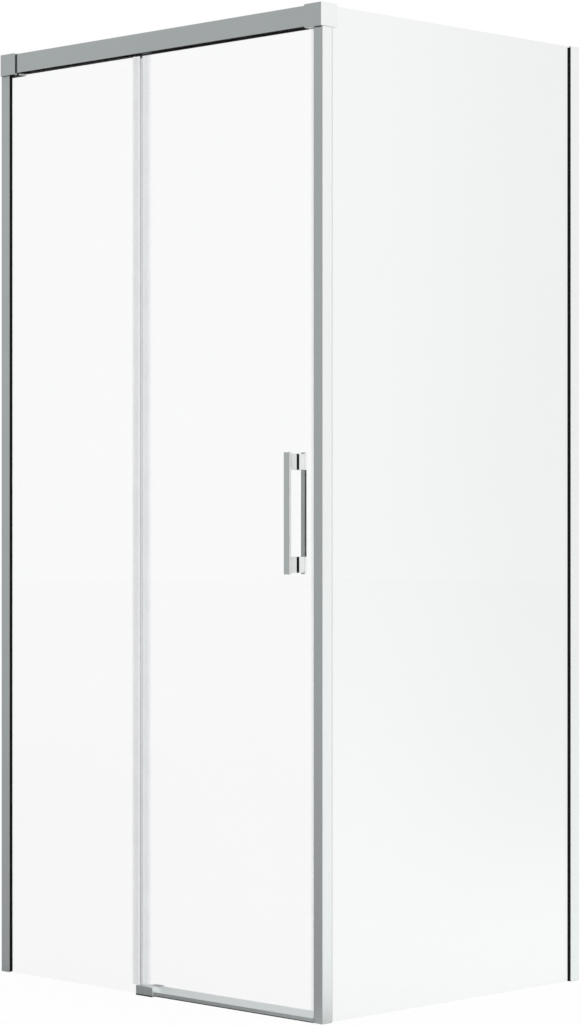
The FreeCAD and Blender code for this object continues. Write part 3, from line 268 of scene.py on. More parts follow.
@dataclass(frozen=True)
class Finish:
    """A named finish of one of the record's material slots."""

    name: str
    slot: str
    colour: Colour

    def start(self) -> tuple[Material, Nodes, Node]:
        """Create the material with its Principled shader.

        Returns:
            The material, its node helper and the Principled node.
        """
        material = bpy.data.materials.new(self.name)
        nodes = emptied(material)
        shader = nodes.add("ShaderNodeBsdfPrincipled")
        nodes.add("ShaderNodeOutputMaterial", {"Surface": shader.outputs[0]})
        return material, nodes, shader

    def tinted(self, nodes: Nodes, tone: NodeSocket) -> NodeSocket:
        """Scale the finish's colour by a tone that varies over the surface."""
        feeds = {0: self.colour, "Scale": tone}
        return nodes.add("ShaderNodeVectorMath", feeds, operation="SCALE").outputs[0]

    def skin(self, nodes: Nodes, shader: Node, tree: NodeTree, strength: float,
             depth: float, **values: object) -> None:
        """Let a shared group give the shader its tone, roughness and relief.

        Args:
            nodes: node helper of the material.
            shader: the Principled node.
            tree: shared group with Tone, Roughness and Height outputs.
            strength: strength of the relief.
            depth: depth of the relief, in metres.
            **values: this finish's own values for the group's inputs.
        """
        group = nodes.add("ShaderNodeGroup", values, node_tree=tree)
        bump = nodes.add("ShaderNodeBump", {"Strength": strength, "Distance": depth,
                                            "Height": group.outputs["Height"]})
        nodes.feed(shader.inputs["Base Color"], self.tinted(nodes, group.outputs["Tone"]))
        nodes.feed(shader.inputs["Roughness"], group.outputs["Roughness"])
        nodes.feed(shader.inputs["Normal"], bump.outputs[0])

    def build(self) -> Material:
        """Build the material; each kind of finish does this its own way."""
        raise NotImplementedError


@dataclass(frozen=True)
class MetalFinish(Finish):
    """Satin metal with a grain along one axis."""

    axis: Axis = Axis.Z
    roughness: float = 0.42
    tone: float = 0.06
    across: float = 520.0
    along: float = 9.0
    relief: float = 0.08

    def build(self) -> Material:
        """Build the satin metal."""
        material, nodes, shader = self.start()
        stretch = [self.across] * 3
        stretch[self.axis.value] = self.along
        self.skin(nodes, shader, GROUPS.grain, self.relief, FINE_RELIEF, Stretch=stretch, Tone=self.tone,
                  Roughness=self.roughness)
        shader.inputs["Metallic"].default_value = 1.0
        return material


@dataclass(frozen=True)
class GlassFinish(Finish):
    """Clear toughened glass, or its polished edge."""

    roughness: float = 0.0
    film: float = 0.02
    film_scale: float = 2.2
    film_tone: float = 0.004
    refraction: float = 1.25
    # fade, lift: strength of the painted shade towards the back and of the painted light near the floor
    fade: float = 0.0
    lift: float = 0.0
    fade_along: Point2 = (-0.38, 0.39)
    fade_above: Point2 = (0.10, 0.45)
    lift_below: Point2 = (0.10, 1.10)

    def build(self) -> Material:
        """Build the glass; where it fades it takes painted shade, deeper in tone at the back above the floor,
        and painted light, lighter near the floor.
        """
        material, n, shader = self.start()
        film = n.add("ShaderNodeGroup", {"Scale": self.film_scale, "Roughness": self.roughness,
                                         "Amount": self.film}, node_tree=GROUPS.film)
        tone = n.math("SUBTRACT", 1.0, n.math("MULTIPLY", film.outputs["Mask"], self.film_tone))
        place = n.add("ShaderNodeSeparateXYZ", {0: n.place()})
        # painted shade: darker towards the back, above the floor
        back = n.math("MULTIPLY", n.ramp(place.outputs["Y"], *self.fade_along, 0.0, self.fade),
                      n.ramp(place.outputs["Z"], *self.fade_above, 0.0, 1.0))
        tone = n.math("MULTIPLY", tone, n.math("SUBTRACT", 1.0, back))
        # painted light: lighter near the floor
        tone = n.math("MULTIPLY", tone, n.ramp(place.outputs["Z"], *self.lift_below, 1.0 + self.lift, 1.0))
        n.feed(shader.inputs["Base Color"], self.tinted(n, tone))
        n.feed(shader.inputs["Roughness"], film.outputs["Roughness"])
        shader.inputs["Transmission Weight"].default_value = 1.0
        shader.inputs["IOR"].default_value = self.refraction
        return material


@dataclass(frozen=True)
class VinylFinish(Finish):
    """Clear flexible sealing strip, slightly milky."""

    roughness: float = 0.06
    clearness: float = 0.97
    refraction: float = 1.06
    scale: float = 350.0
    tone: float = 0.03
    relief: float = 0.05

    def build(self) -> Material:
        """Build the milky plastic."""
        material, nodes, shader = self.start()
        self.skin(nodes, shader, GROUPS.pores, self.relief, FINE_RELIEF, Scale=self.scale, Tone=self.tone,
                  Roughness=self.roughness)
        shader.inputs["Transmission Weight"].default_value = self.clearness
        shader.inputs["IOR"].default_value = self.refraction
        return material


@dataclass(frozen=True)
class MouldedFinish(Finish):
    """Moulded rubber or plastic."""

    roughness: float = 0.5
    scale: float = 900.0
    tone: float = 0.12
    relief: float = 0.15
    sheen: float = 0.35

    def build(self) -> Material:
        """Build the moulded surface."""
        material, nodes, shader = self.start()
        self.skin(nodes, shader, GROUPS.pores, self.relief, COARSE_RELIEF, Scale=self.scale, Tone=self.tone,
                  Roughness=self.roughness)
        shader.inputs["Specular IOR Level"].default_value = self.sheen
        return material


@dataclass
class Palette:
    """Every finish of the enclosure, built once."""

    silver: Colour = (0.690, 0.735, 0.735)
    finishes: dict[str, Finish] = field(default_factory=dict)
    made: dict[str, Material] = field(default_factory=dict)

    def __post_init__(self) -> None:
        """List the finishes by name."""
        for finish in (
            MetalFinish("aluminium_upright", "satin_aluminium", self.silver, Axis.Z),
            MetalFinish("aluminium_level", "satin_aluminium", self.silver, Axis.X),
            MetalFinish("aluminium_mill", "mill_aluminium", (0.62, 0.63, 0.64), Axis.Z, roughness=0.45),
            MetalFinish("cap_metal", "cap_satin", self.silver, Axis.X, along=300.0, tone=0.05),
            MetalFinish("handle_metal", "handle_satin", self.silver, Axis.Z, roughness=0.24, tone=0.04),
            MetalFinish("screw_steel", "steel", (0.56, 0.57, 0.58), Axis.Z, roughness=0.25, across=900.0,
                        along=900.0, tone=0.05),
            # lighter copy of the handle metal for faces that look along +X: painted light
            MetalFinish("handle_bright", "handle_satin", (0.82, 0.85, 0.85), Axis.Z, tone=0.03),
            # darker copy of the handle metal for the grip's front: painted shade
            MetalFinish("handle_dim", "handle_satin", (0.54, 0.575, 0.575), Axis.Z, roughness=0.24,
                        tone=0.04),
            # near-black copy of the handle metal for the grip's side between the standoffs: painted shade
            MetalFinish("handle_shade", "handle_satin", (0.05, 0.052, 0.052), Axis.Z, roughness=0.24,
                        tone=0.04),
            # lighter copy of the aluminium for faces that look up or along +X: painted light
            MetalFinish("aluminium_bright", "satin_aluminium", (0.89, 0.93, 0.93), Axis.X, tone=0.05),
            GlassFinish("pane_clear", "clear_glass", (0.960, 0.962, 0.966)),
            # the side pane is the same glass painted darker, deeper towards the back and lighter near the
            # floor: painted shade and painted light
            GlassFinish("pane_tinted", "clear_glass", (0.905, 0.915, 0.915), fade=0.047, lift=0.03),
            GlassFinish("pane_edge", "clear_glass", (0.965, 0.985, 0.978), film=0.0, refraction=1.002),
            VinylFinish("seal_clear", "clear_seal", (0.93, 0.935, 0.94)),
            VinylFinish("seal_rim", "clear_seal", (0.985, 0.985, 0.985), roughness=0.03, clearness=1.0,
                        refraction=1.01),
            # darker, less clear copy of the seal for a band at its inner end: painted shade
            VinylFinish("seal_shade", "clear_seal", (0.25, 0.25, 0.26), roughness=0.2, clearness=0.6,
                        refraction=1.01),
            MouldedFinish("rubber_black", "black_rubber", (0.004, 0.0042, 0.0042), roughness=0.75,
                          sheen=0.15),
            # near-black finish on aluminium for hollows and undersides: painted shade
            MouldedFinish("rail_inside", "satin_aluminium", (0.012, 0.012, 0.012), roughness=0.8, sheen=0.1),
            # dark plastic of the rail joint sleeve, also used as painted shade at the foot of the threshold
            # and guide and under the corner cap
            MouldedFinish("joint_dark", "dark_plastic", (0.055, 0.058, 0.058), roughness=0.5, sheen=0.3),
            MouldedFinish("nylon_dark", "nylon", (0.045, 0.046, 0.048), roughness=0.42, scale=600.0),
            MouldedFinish("nylon_pale", "nylon", (0.70, 0.71, 0.71), roughness=0.42, scale=600.0),
            MouldedFinish("pad_white", "slide_pad", (0.75, 0.75, 0.74), roughness=0.4),
            MouldedFinish("magnet_grey", "magnet_strip", (0.62, 0.63, 0.64), roughness=0.38),
        ):
            self.finishes[finish.name] = finish

    def material(self, name: str) -> Material:
        """Build a finish's material at its first use."""
        if name not in self.made:
            self.made[name] = self.finishes[name].build()
        return self.made[name]

    def slot(self, name: str) -> str:
        """Name the record's slot of a finish."""
        return self.finishes[name].slot


PALETTE = Palette()


# ---------------------------------------------------------------- mesh helpers


def object_of(name: str, data: ID) -> Object:
    """Put a mesh, a lamp or a camera in the scene as an object at the origin."""
    piece = bpy.data.objects.new(name, data)
    bpy.context.scene.collection.objects.link(piece)
    return piece


def mesh_of(name: str, spots: Sequence[Point3], faces: Sequence[Sequence[int]] = ()) -> Mesh:
    """Make a mesh from its corners, in metres, and its faces."""
    mesh = bpy.data.meshes.new(name)
    mesh.from_pydata(spots, [], faces)
    mesh.update()
    return mesh


def plain_mesh(piece: Object, name: str) -> Mesh:
    """Evaluate a piece with its modifiers.

    Args:
        piece: object with live modifiers.
        name: name of the new mesh.

    Returns:
        A mesh that holds the evaluated result.
    """
    bpy.context.view_layer.update()
    graph = bpy.context.evaluated_depsgraph_get()
    mesh = bpy.data.meshes.new_from_object(piece.evaluated_get(graph), preserve_all_data_layers=True,
                                           depsgraph=graph)
    mesh.name = name
    return mesh


def baked(piece: Object) -> Object:
    """Replace a piece's mesh and modifiers by the evaluated mesh."""
    mesh = plain_mesh(piece, piece.name)
    piece.modifiers.clear()
    old = piece.data
    piece.data = mesh
    bpy.data.meshes.remove(old)
    return piece


def shade(piece: Object) -> None:
    """Shade smooth, with flat faces kept flat and sharp edges kept sharp."""
    piece.data.shade_smooth()
    piece.data.set_sharp_from_angle(angle=math.radians(SHARP_DEGREES))
    weights = piece.modifiers.new("normals", "WEIGHTED_NORMAL")
    weights.keep_sharp = True
    weights.weight = 100
    baked(piece)


def section_mesh(name: str, outlines: Sequence[Sequence[Point3]]) -> Mesh:
    """Flat faces from their corners in mm, as a mesh in metres."""
    points: list[Point3] = []
    faces: list[list[int]] = []
    for outline in outlines:
        faces.append(list(range(len(points), len(points) + len(outline))))
        points += [tuple(c * MM for c in corner) for corner in outline]
    return mesh_of(name, points, faces)


def box_mm(node: str) -> tuple[Vector, Vector]:
    """Corners of a CAD node's box, in mm."""
    low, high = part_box(node)
    return low / MM, high / MM


def solids_of(node: str) -> list[tuple[Vector, Vector]]:
    """Boxes of the separate solids of a CAD node, in mm."""
    work = bmesh.new()
    work.from_mesh(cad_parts[node].data)
    bmesh.ops.remove_doubles(work, verts=work.verts, dist=SAME_SPOT)
    left = set(work.verts)
    boxes = []
    while left:
        edge = [left.pop()]
        spots = []
        while edge:
            vert = edge.pop()
            spots.append(vert.co / MM)
            for link in vert.link_edges:
                other = link.other_vert(vert)
                if other in left:
                    left.remove(other)
                    edge.append(other)
        boxes.append((Vector([min(s[k] for s in spots) for k in range(3)]),
                      Vector([max(s[k] for s in spots) for k in range(3)])))
    work.free()
    return sorted(boxes, key=lambda pair: tuple(round(c, 3) for c in pair[0]))


def welded(node: str, name: str) -> Mesh:
    """Copy a CAD node's mesh, with its loose triangles joined and flat faces merged.

    Args:
        node: name of the CAD node.
        name: name of the new mesh.

    Returns:
        A clean mesh in the CAD node's place.
    """
    work = bmesh.new()
    work.from_mesh(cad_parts[node].data)
    bmesh.ops.remove_doubles(work, verts=work.verts, dist=SAME_SPOT)
    bmesh.ops.dissolve_limit(work, angle_limit=math.radians(FLAT_DEGREES), verts=work.verts,
                             edges=work.edges, delimit=set())
    clean = bmesh.new()
    spots = {v: clean.verts.new(v.co) for v in work.verts}
    for face in work.faces:
        clean.faces.new([spots[v] for v in face.verts])
    mesh = bpy.data.meshes.new(name)
    clean.to_mesh(mesh)
    clean.free()
    work.free()
    return mesh


def rounded(corners: Sequence[Sequence[float]], steps: int = 4) -> list[Point2]:
    """Round the corners of an outline.

    Args:
        corners: (a, b) or (a, b, radius) of each corner, in order.
        steps: faces in each rounded corner.

    Returns:
        The outline with an arc at each corner that has a radius.
    """
    result: list[Point2] = []
    count = len(corners)
    for i, corner in enumerate(corners):
        here = Vector(corner[:2])
        radius = corner[2] if len(corner) > 2 else 0.0
        if radius <= 0:
            result.append((here.x, here.y))
            continue
        back = (Vector(corners[i - 1][:2]) - here).normalized()
        ahead = (Vector(corners[(i + 1) % count][:2]) - here).normalized()
        half = back.angle(ahead) / 2
        centre = here + (back + ahead).normalized() * (radius / math.sin(half))
        start = here + back * (radius / math.tan(half)) - centre
        end = here + ahead * (radius / math.tan(half)) - centre
        sweep = start.angle_signed(end)
        for k in range(steps + 1):
            spoke = start.copy()
            spoke.rotate(Matrix.Rotation(-sweep * k / steps, 2))
            result.append((centre.x + spoke.x, centre.y + spoke.y))
    return result


def lathe(name: str, outline: Sequence[Point2], steps: int, ring: bool) -> Mesh:
    """Turn an outline around the Z axis.

    Args:
        name: name of the mesh.
        outline: (radius, height) of each corner, in mm.
        steps: faces around the axis.
        ring: whether the outline closes on itself; otherwise it starts and ends on the axis.

    Returns:
        A closed mesh in metres.
    """
    work = bmesh.new()
    rings = []
    for radius, height in outline:
        if radius == 0.0:
            rings.append([work.verts.new((0.0, 0.0, height * MM))])
            continue
        turns = [2 * math.pi * k / steps for k in range(steps)]
        rings.append([work.verts.new((radius * MM * math.cos(t), radius * MM * math.sin(t), height * MM))
                      for t in turns])
    pairs = list(zip(rings, rings[1:])) + ([(rings[-1], rings[0])] if ring else [])
    for lower, upper in pairs:
        for k in range(steps):
            corners = [lower[k % len(lower)], lower[(k + 1) % len(lower)], upper[(k + 1) % len(upper)],
                       upper[k % len(upper)]]
            work.faces.new(list(dict.fromkeys(corners)))
    bmesh.ops.recalc_face_normals(work, faces=work.faces)
    mesh = bpy.data.meshes.new(name)
    work.to_mesh(mesh)
    work.free()
    return mesh


def frustum(name: str, top: Sequence[Point2], base: Sequence[Point2], high: float, low: float) -> Mesh:
    """Closed body between two outlines with the same number of corners, in mm."""
    count = len(top)
    spots = [(x * MM, y * MM, high * MM) for x, y in top] + [(x * MM, y * MM, low * MM) for x, y in base]
    faces = [list(range(count)), list(range(2 * count - 1, count - 1, -1))]
    faces += [[k, k + count, (k + 1) % count + count, (k + 1) % count] for k in range(count)]
    mesh = mesh_of(name, spots, faces)
    work = bmesh.new()
    work.from_mesh(mesh)
    bmesh.ops.recalc_face_normals(work, faces=work.faces)
    work.to_mesh(mesh)
    work.free()
    return mesh


def polygon(sides: int, radius: float) -> list[Point2]:
    """Corners of a regular polygon."""
    return [(radius * math.cos(2 * math.pi * k / sides), radius * math.sin(2 * math.pi * k / sides))
            for k in range(sides)]


def ring_outline(inner: float, outer: float, start: float, end: float, edge: float) -> list[Point2]:
    """Outline of a ring with bevelled outer edges."""
    return [(inner, start), (outer - edge, start), (outer, start + edge), (outer, end - edge),
            (outer - edge, end), (inner, end)]


def ridges(root: float, crest: float, start: float, end: float, pitch: float) -> list[Point2]:
    """Outline of thread ridges between two heights."""
    count = max(1, int((end - start) / pitch))
    step = (end - start) / count
    points: list[Point2] = []
    for k in range(count):
        points += [(root, start + k * step), (crest, start + (k + 0.5) * step)]
    return points + [(root, end)]


def carved(blank: Mesh, tool: Mesh, operation: str) -> Mesh:
    """Cut one body by another.

    Args:
        blank: mesh that is cut.
        tool: mesh that cuts.
        operation: DIFFERENCE or INTERSECT.

    Returns:
        The cut mesh.
    """
    base = object_of("carved_base", blank)
    cutter = object_of("carved_tool", tool)
    boolean = base.modifiers.new("cut", "BOOLEAN")
    boolean.operation = operation
    boolean.solver = "EXACT"
    boolean.object = cutter
    mesh = plain_mesh(base, blank.name)
    bpy.data.objects.remove(base)
    bpy.data.objects.remove(cutter)
    return mesh


# ---------------------------------------------------------------- geometry node trees


class Trees:
    """Geometry node trees of the enclosure, each built at its first use."""

    weld: float = 1e-6

    def _start(self, name: str, *inputs: tuple[str, str]) -> tuple[Nodes, dict, dict]:
        """Create a geometry tree that also takes a mesh and a material."""
        named = (("Geometry", GEOMETRY), *inputs, ("Material", "NodeSocketMaterial"))
        return new_tree("GeometryNodeTree", name, [(label, kind, None) for label, kind in named],
                        [("Geometry", GEOMETRY)])

    def _end(self, n: Nodes, source: dict, target: dict, shape: NodeSocket) -> NodeTree:
        """Close a tree with Realize Instances and Set Material, and return it."""
        real = n.add("GeometryNodeRealizeInstances", {0: shape})
        paint = n.add("GeometryNodeSetMaterial", {"Geometry": real.outputs[0],
                                                  "Material": source["Material"]})
        n.feed(target["Geometry"], paint.outputs[0])
        return n.tree

    @cached_property
    def run(self) -> NodeTree:
        """Extrude a flat section along a straight run into a closed strip.

        Returns:
            A tree with the inputs Run and Material.
        """
        n, source, target = self._start("strip_run", ("Run", VECTOR))
        push = n.add("GeometryNodeExtrudeMesh", {"Individual": False, "Mesh": source["Geometry"],
                                                 "Offset": source["Run"], "Offset Scale": 1.0}, mode="FACES")
        flip = n.add("GeometryNodeFlipFaces", {"Mesh": source["Geometry"]})
        join = n.add("GeometryNodeJoinGeometry")
        for part in (push.outputs["Mesh"], flip.outputs[0]):
            n.feed(join.inputs[0], part)
        closed = n.add("GeometryNodeMergeByDistance", {"Geometry": join.outputs[0], "Distance": self.weld})
        return self._end(n, source, target, closed.outputs[0])

    @cached_property
    def place(self) -> NodeTree:
        """Set one fastener on each point of a point mesh.

        Returns:
            A tree with the inputs Fastener, Turn and Material.
        """
        n, source, target = self._start("fastener_places", ("Fastener", "NodeSocketObject"), ("Turn", VECTOR))
        part = n.add("GeometryNodeObjectInfo", {"Object": source["Fastener"]})
        points = n.add("GeometryNodeMeshToPoints", {"Mesh": source["Geometry"]})
        turn = n.add("FunctionNodeEulerToRotation", {0: source["Turn"]})
        spread = n.add("GeometryNodeInstanceOnPoints", {
            "Points": points.outputs[0], "Instance": part.outputs["Geometry"], "Rotation": turn.outputs[0]})
        return self._end(n, source, target, spread.outputs[0])


TREES = Trees()
FACING_BACK: Point3 = (-math.pi / 2, 0.0, 0.0)
FACING_LEFT: Point3 = (0.0, -math.pi / 2, 0.0)


def with_tree(piece: Object, tree: NodeTree, values: dict[str, object]) -> Object:
    """Run a geometry tree on a piece and keep the result as a plain mesh.

    Args:
        piece: object whose mesh feeds the tree.
        tree: geometry node tree.
        values: the tree's inputs by name.

    Returns:
        The piece with its new mesh and no modifier.
    """
    modifier = piece.modifiers.new("build", "NODES")
    modifier.node_group = tree
    for item in tree.interface.items_tree:
        if item.item_type == "SOCKET" and item.in_out == "INPUT" and item.name in values:
            modifier[item.identifier] = values[item.name]
    return baked(piece)


# ---------------------------------------------------------------- dressing


def dress(piece: Object, body: str, finish: str, *nodes: str) -> Object:
    """Hand a finished piece to the frame.

    Args:
        piece: the piece, in its place.
        body: CAD body that it rides on.
        finish: name of its finish.
        *nodes: CAD nodes that it stands for.

    Returns:
        The piece.
    """
    if not piece.data.materials:
        piece.data.materials.append(PALETTE.material(finish))
    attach(piece, body)
    if nodes:
        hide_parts(*nodes)
    PALETTE.slot(finish)
    LOG.info("%s rides on %s, finish %s", piece.name, body, finish)
    return piece


def sliced(mesh: Mesh, axis: Axis, level: float) -> None:
    """Split a mesh's faces at a level in mm, so that both sides can take their own finish."""
    spot, along = Vector(), Vector()
    spot[axis.value] = level * MM
    along[axis.value] = 1.0
    work = bmesh.new()
    work.from_mesh(mesh)
    bmesh.ops.bisect_plane(work, geom=[*work.verts, *work.edges, *work.faces], plane_co=spot, plane_no=along)
    work.to_mesh(mesh)
    work.free()


def looks(face: MeshPolygon, way: Axis, sign: float = 1.0, limit: float = FACING) -> bool:
    """Tell whether a face looks along an axis, or against it with a sign of -1."""
    return face.normal[way.value] * sign > limit


def refaced(piece: Object, finish: str, chosen: Callable[[MeshPolygon], bool]) -> None:
    """Give the chosen faces of a piece a second finish.

    Args:
        piece: the piece.
        finish: name of the second finish.
        chosen: test that says whether a face takes it.
    """
    piece.data.materials.append(PALETTE.material(finish))
    number = len(piece.data.materials) - 1
    for face in piece.data.polygons:
        if chosen(face):
            face.material_index = number


def softened(node: str, name: str, body: str, finish: str, width: float, segments: int = 2,
             clear: bool = False, cuts: Sequence[tuple[Axis, float]] = ()) -> Object:
    """Copy a CAD node with its sharp edges broken, and let the copy replace it.

    Args:
        node: CAD node.
        name: name of the new piece.
        body: CAD body.
        finish: name of the finish.
        width: width of the broken edge, in metres.
        segments: faces across the broken edge.
        clear: whether the piece is see-through, and so keeps flat faces.
        cuts: levels in mm, each along an axis, at which its faces are split.

    Returns:
        The new piece.
    """
    piece = object_of(name, welded(node, name))
    bevel = piece.modifiers.new("edges", "BEVEL")
    bevel.width = width
    bevel.segments = segments
    bevel.limit_method = "ANGLE"
    bevel.angle_limit = math.radians(BROKEN_DEGREES)
    bevel.miter_outer = "MITER_ARC"
    bevel.use_clamp_overlap = True
    baked(piece)
    for axis, level in cuts:
        sliced(piece.data, axis, level)
    if clear:
        piece.data.shade_flat()
    else:
        shade(piece)
    return dress(piece, body, finish, node)


def strip(name: str, body: str, finish: str, outlines: Sequence[Sequence[Point3]], run: Point3,
          *nodes: str) -> Object:
    """Extrude flat sections along a straight run.

    Args:
        name: name of the piece.
        body: CAD body.
        finish: name of the finish.
        outlines: corners of each section, in mm.
        run: vector of the run, in mm.
        *nodes: CAD nodes that the strip stands for.

    Returns:
        The new piece.
    """
    section = section_mesh(name, outlines)
    if section.polygons[0].normal.dot(Vector(run)) < 0:
        section.flip_normals()
    piece = object_of(name, section)
    with_tree(piece, TREES.run, {"Run": tuple(c * MM for c in run), "Material": PALETTE.material(finish)})
    if finish == "seal_clear":
        piece.data.shade_flat()
    else:
        shade(piece)
    return dress(piece, body, finish, *nodes)


def upright_strip(node: str, name: str, body: str, finish: str, section: Sequence[Point2]) -> Object:
    """Run an (x, y) section, in mm, up the height of its CAD node."""
    low, high = box_mm(node)
    outline = [(x, y, low.z) for x, y in section]
    return strip(name, body, finish, [outline], (0.0, 0.0, high.z - low.z), node)


def level_strip(node: str, name: str, body: str, finish: str, section: Sequence[Point2]) -> Object:
    """Run a (y, z) section, in mm, along the length of its CAD node."""
    low, high = box_mm(node)
    outline = [(low.x, y, z) for y, z in section]
    return strip(name, body, finish, [outline], (high.x - low.x, 0.0, 0.0), node)


def placed(name: str, body: str, finish: str, unit: Mesh, spots: Sequence[Vector], turn: Point3,
           *nodes: str) -> Object:
    """Set copies of one part on several spots.

    Args:
        name: name of the piece.
        body: CAD body.
        finish: name of the finish.
        unit: mesh of the part, upright at the origin.
        spots: places of the copies, in mm.
        turn: rotation of every copy, as Euler angles.
        *nodes: CAD nodes that the copies stand for.

    Returns:
        The new piece.
    """
    part = object_of(name + "_part", unit)
    piece = object_of(name, mesh_of(name, [tuple(spot * MM) for spot in spots]))
    with_tree(piece, TREES.place, {"Fastener": part, "Turn": turn, "Material": PALETTE.material(finish)})
    bpy.data.objects.remove(part)
    bpy.data.meshes.remove(unit)
    shade(piece)
    return dress(piece, body, finish, *nodes)


# ---------------------------------------------------------------- fixed parts


@dataclass
class Framework:
    """Wall profiles, corner post, head rail, caps and threshold."""

    edge: float = 0.25 * MM
    post_edge: float = 0.1 * MM
    cap_edge: float = 0.3 * MM
    # skin, roof: depths from the rail's front, back and top within which faces stay satin; underside: depth
    # from its bottom within which faces take painted shade
    skin: float = 0.45 * MM
    roof: float = 1.2 * MM
    underside: float = 0.2 * MM
    # height of the painted shadow along the top of the corner post's front
    joint: float = 1.6 * MM
    # offset from the wall cap's lowest corner; its faces below and behind this take painted shade
    cap_inside: Point3 = (0.0, 5.0 * MM, 3.5 * MM)
    # height of the painted contact shade along the threshold's foot, in mm
    foot: float = 2.0
    # cosine above which a face of the threshold counts as looking up and takes painted light
    slope: float = 0.3
    uprights: tuple[str, ...] = ("wall_profile_front", "wall_profile_side", "corner_post")
    channels: tuple[str, ...] = ("wall_channel_front", "wall_channel_side")
    caps: tuple[str, ...] = ("head_rail_wall_cap", "head_rail_corner_cap", "wall_profile_side_cap")

    def build(self) -> None:
        """Build and dress the metalwork."""
        for node in self.uprights:
            self.upright(node)
        for node in self.channels:
            softened(node, node + "_body", "frame", "aluminium_mill", self.edge)
        for node in self.caps:
            cap = softened(node, node + "_shell", "frame", "cap_metal", self.cap_edge)
            if node == "head_rail_wall_cap":
                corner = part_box(node)[0] + Vector(self.cap_inside)
                # the wall cap's underside and the inside of its end are painted near black: painted shade
                refaced(cap, "rail_inside", lambda face: looks(face, Axis.Z, -1.0) or (
                    face.center.z < corner.z and face.center.y > corner.y))
        self.rail()
        sill = softened("threshold_bar", "threshold_body", "frame", "aluminium_level", self.edge,
                        cuts=[(Axis.Z, self.foot)])
        # the threshold's sloped top is painted lighter: painted light
        refaced(sill, "aluminium_bright", lambda face: looks(face, Axis.Z, limit=self.slope))
        # the threshold's foot is painted dark: painted contact shade
        refaced(sill, "joint_dark", lambda face: face.center.z < self.foot * MM)
        # the rail joint sleeve is dark plastic; its dark tone also stands in for the shadow between rail and
        # cap: painted shade
        softened("head_rail_joint", "rail_joint_sleeve", "frame", "joint_dark", self.edge)
        softened("door_stops", "rail_stops", "frame", "nylon_dark", self.cap_edge)
        softened("door_stop_buffers", "rail_stop_buffers", "frame", "rubber_black", self.cap_edge)

    def upright(self, node: str) -> None:
        """Build one upright; the corner post's front is painted dark along its top, under the cap: painted
        shadow.
        """
        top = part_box(node)[1].z - self.joint
        post = node == "corner_post"
        piece = softened(node, node + "_body", "frame", "aluminium_upright",
                         self.post_edge if post else self.edge, cuts=[(Axis.Z, top / MM)])
        if post:
            # painted shadow under the corner cap, along the top of the post's front
            refaced(piece, "joint_dark", lambda face: looks(face, Axis.Y, -1.0) and face.center.z > top)

    def rail(self) -> None:
        """Build the head rail, satin outside, with its chambers and underside painted near black: painted
        shade.
        """
        rail = softened("head_rail", "head_rail_body", "frame", "aluminium_level", self.edge)
        low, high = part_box("head_rail")

        def hidden(face: MeshPolygon) -> bool:
            """Tell whether a face lies inside the rail or under it."""
            spot = face.center
            outer = (spot.y < low.y + self.skin or spot.y > high.y - self.skin
                     or spot.z > high.z - self.roof or abs(face.normal.x) > FACING)
            return not outer or spot.z < low.z + self.underside

        refaced(rail, "rail_inside", hidden)


@dataclass
class Panes:
    """The three glass panes with polished edges."""

    arris: float = 0.35 * MM
    flat: float = 0.999
    beyond: float = 1.0

    def build(self) -> None:
        """Build and dress the panes; the fixed one counts as an edge wherever its seal covers it."""
        for node, name, body, finish, axis in (("fixed_glass", "pane_fixed", "frame", "pane_clear", Axis.Y),
                                               ("side_glass", "pane_side", "frame", "pane_tinted", Axis.X),
                                               ("door_glass", "pane_door", "door", "pane_clear", Axis.Y)):
            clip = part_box("fixed_glass_edge_seal")[0].x if node == "fixed_glass" else self.beyond
            piece = softened(node, name, body, finish, self.arris, segments=1, clear=True,
                             cuts=[(Axis.X, clip / MM)])
            refaced(piece, "pane_edge",
                    lambda face: abs(face.normal[axis.value]) <= self.flat or face.center.x > clip)
            piece.visible_shadow = False


# ---------------------------------------------------------------- gaskets and black strips


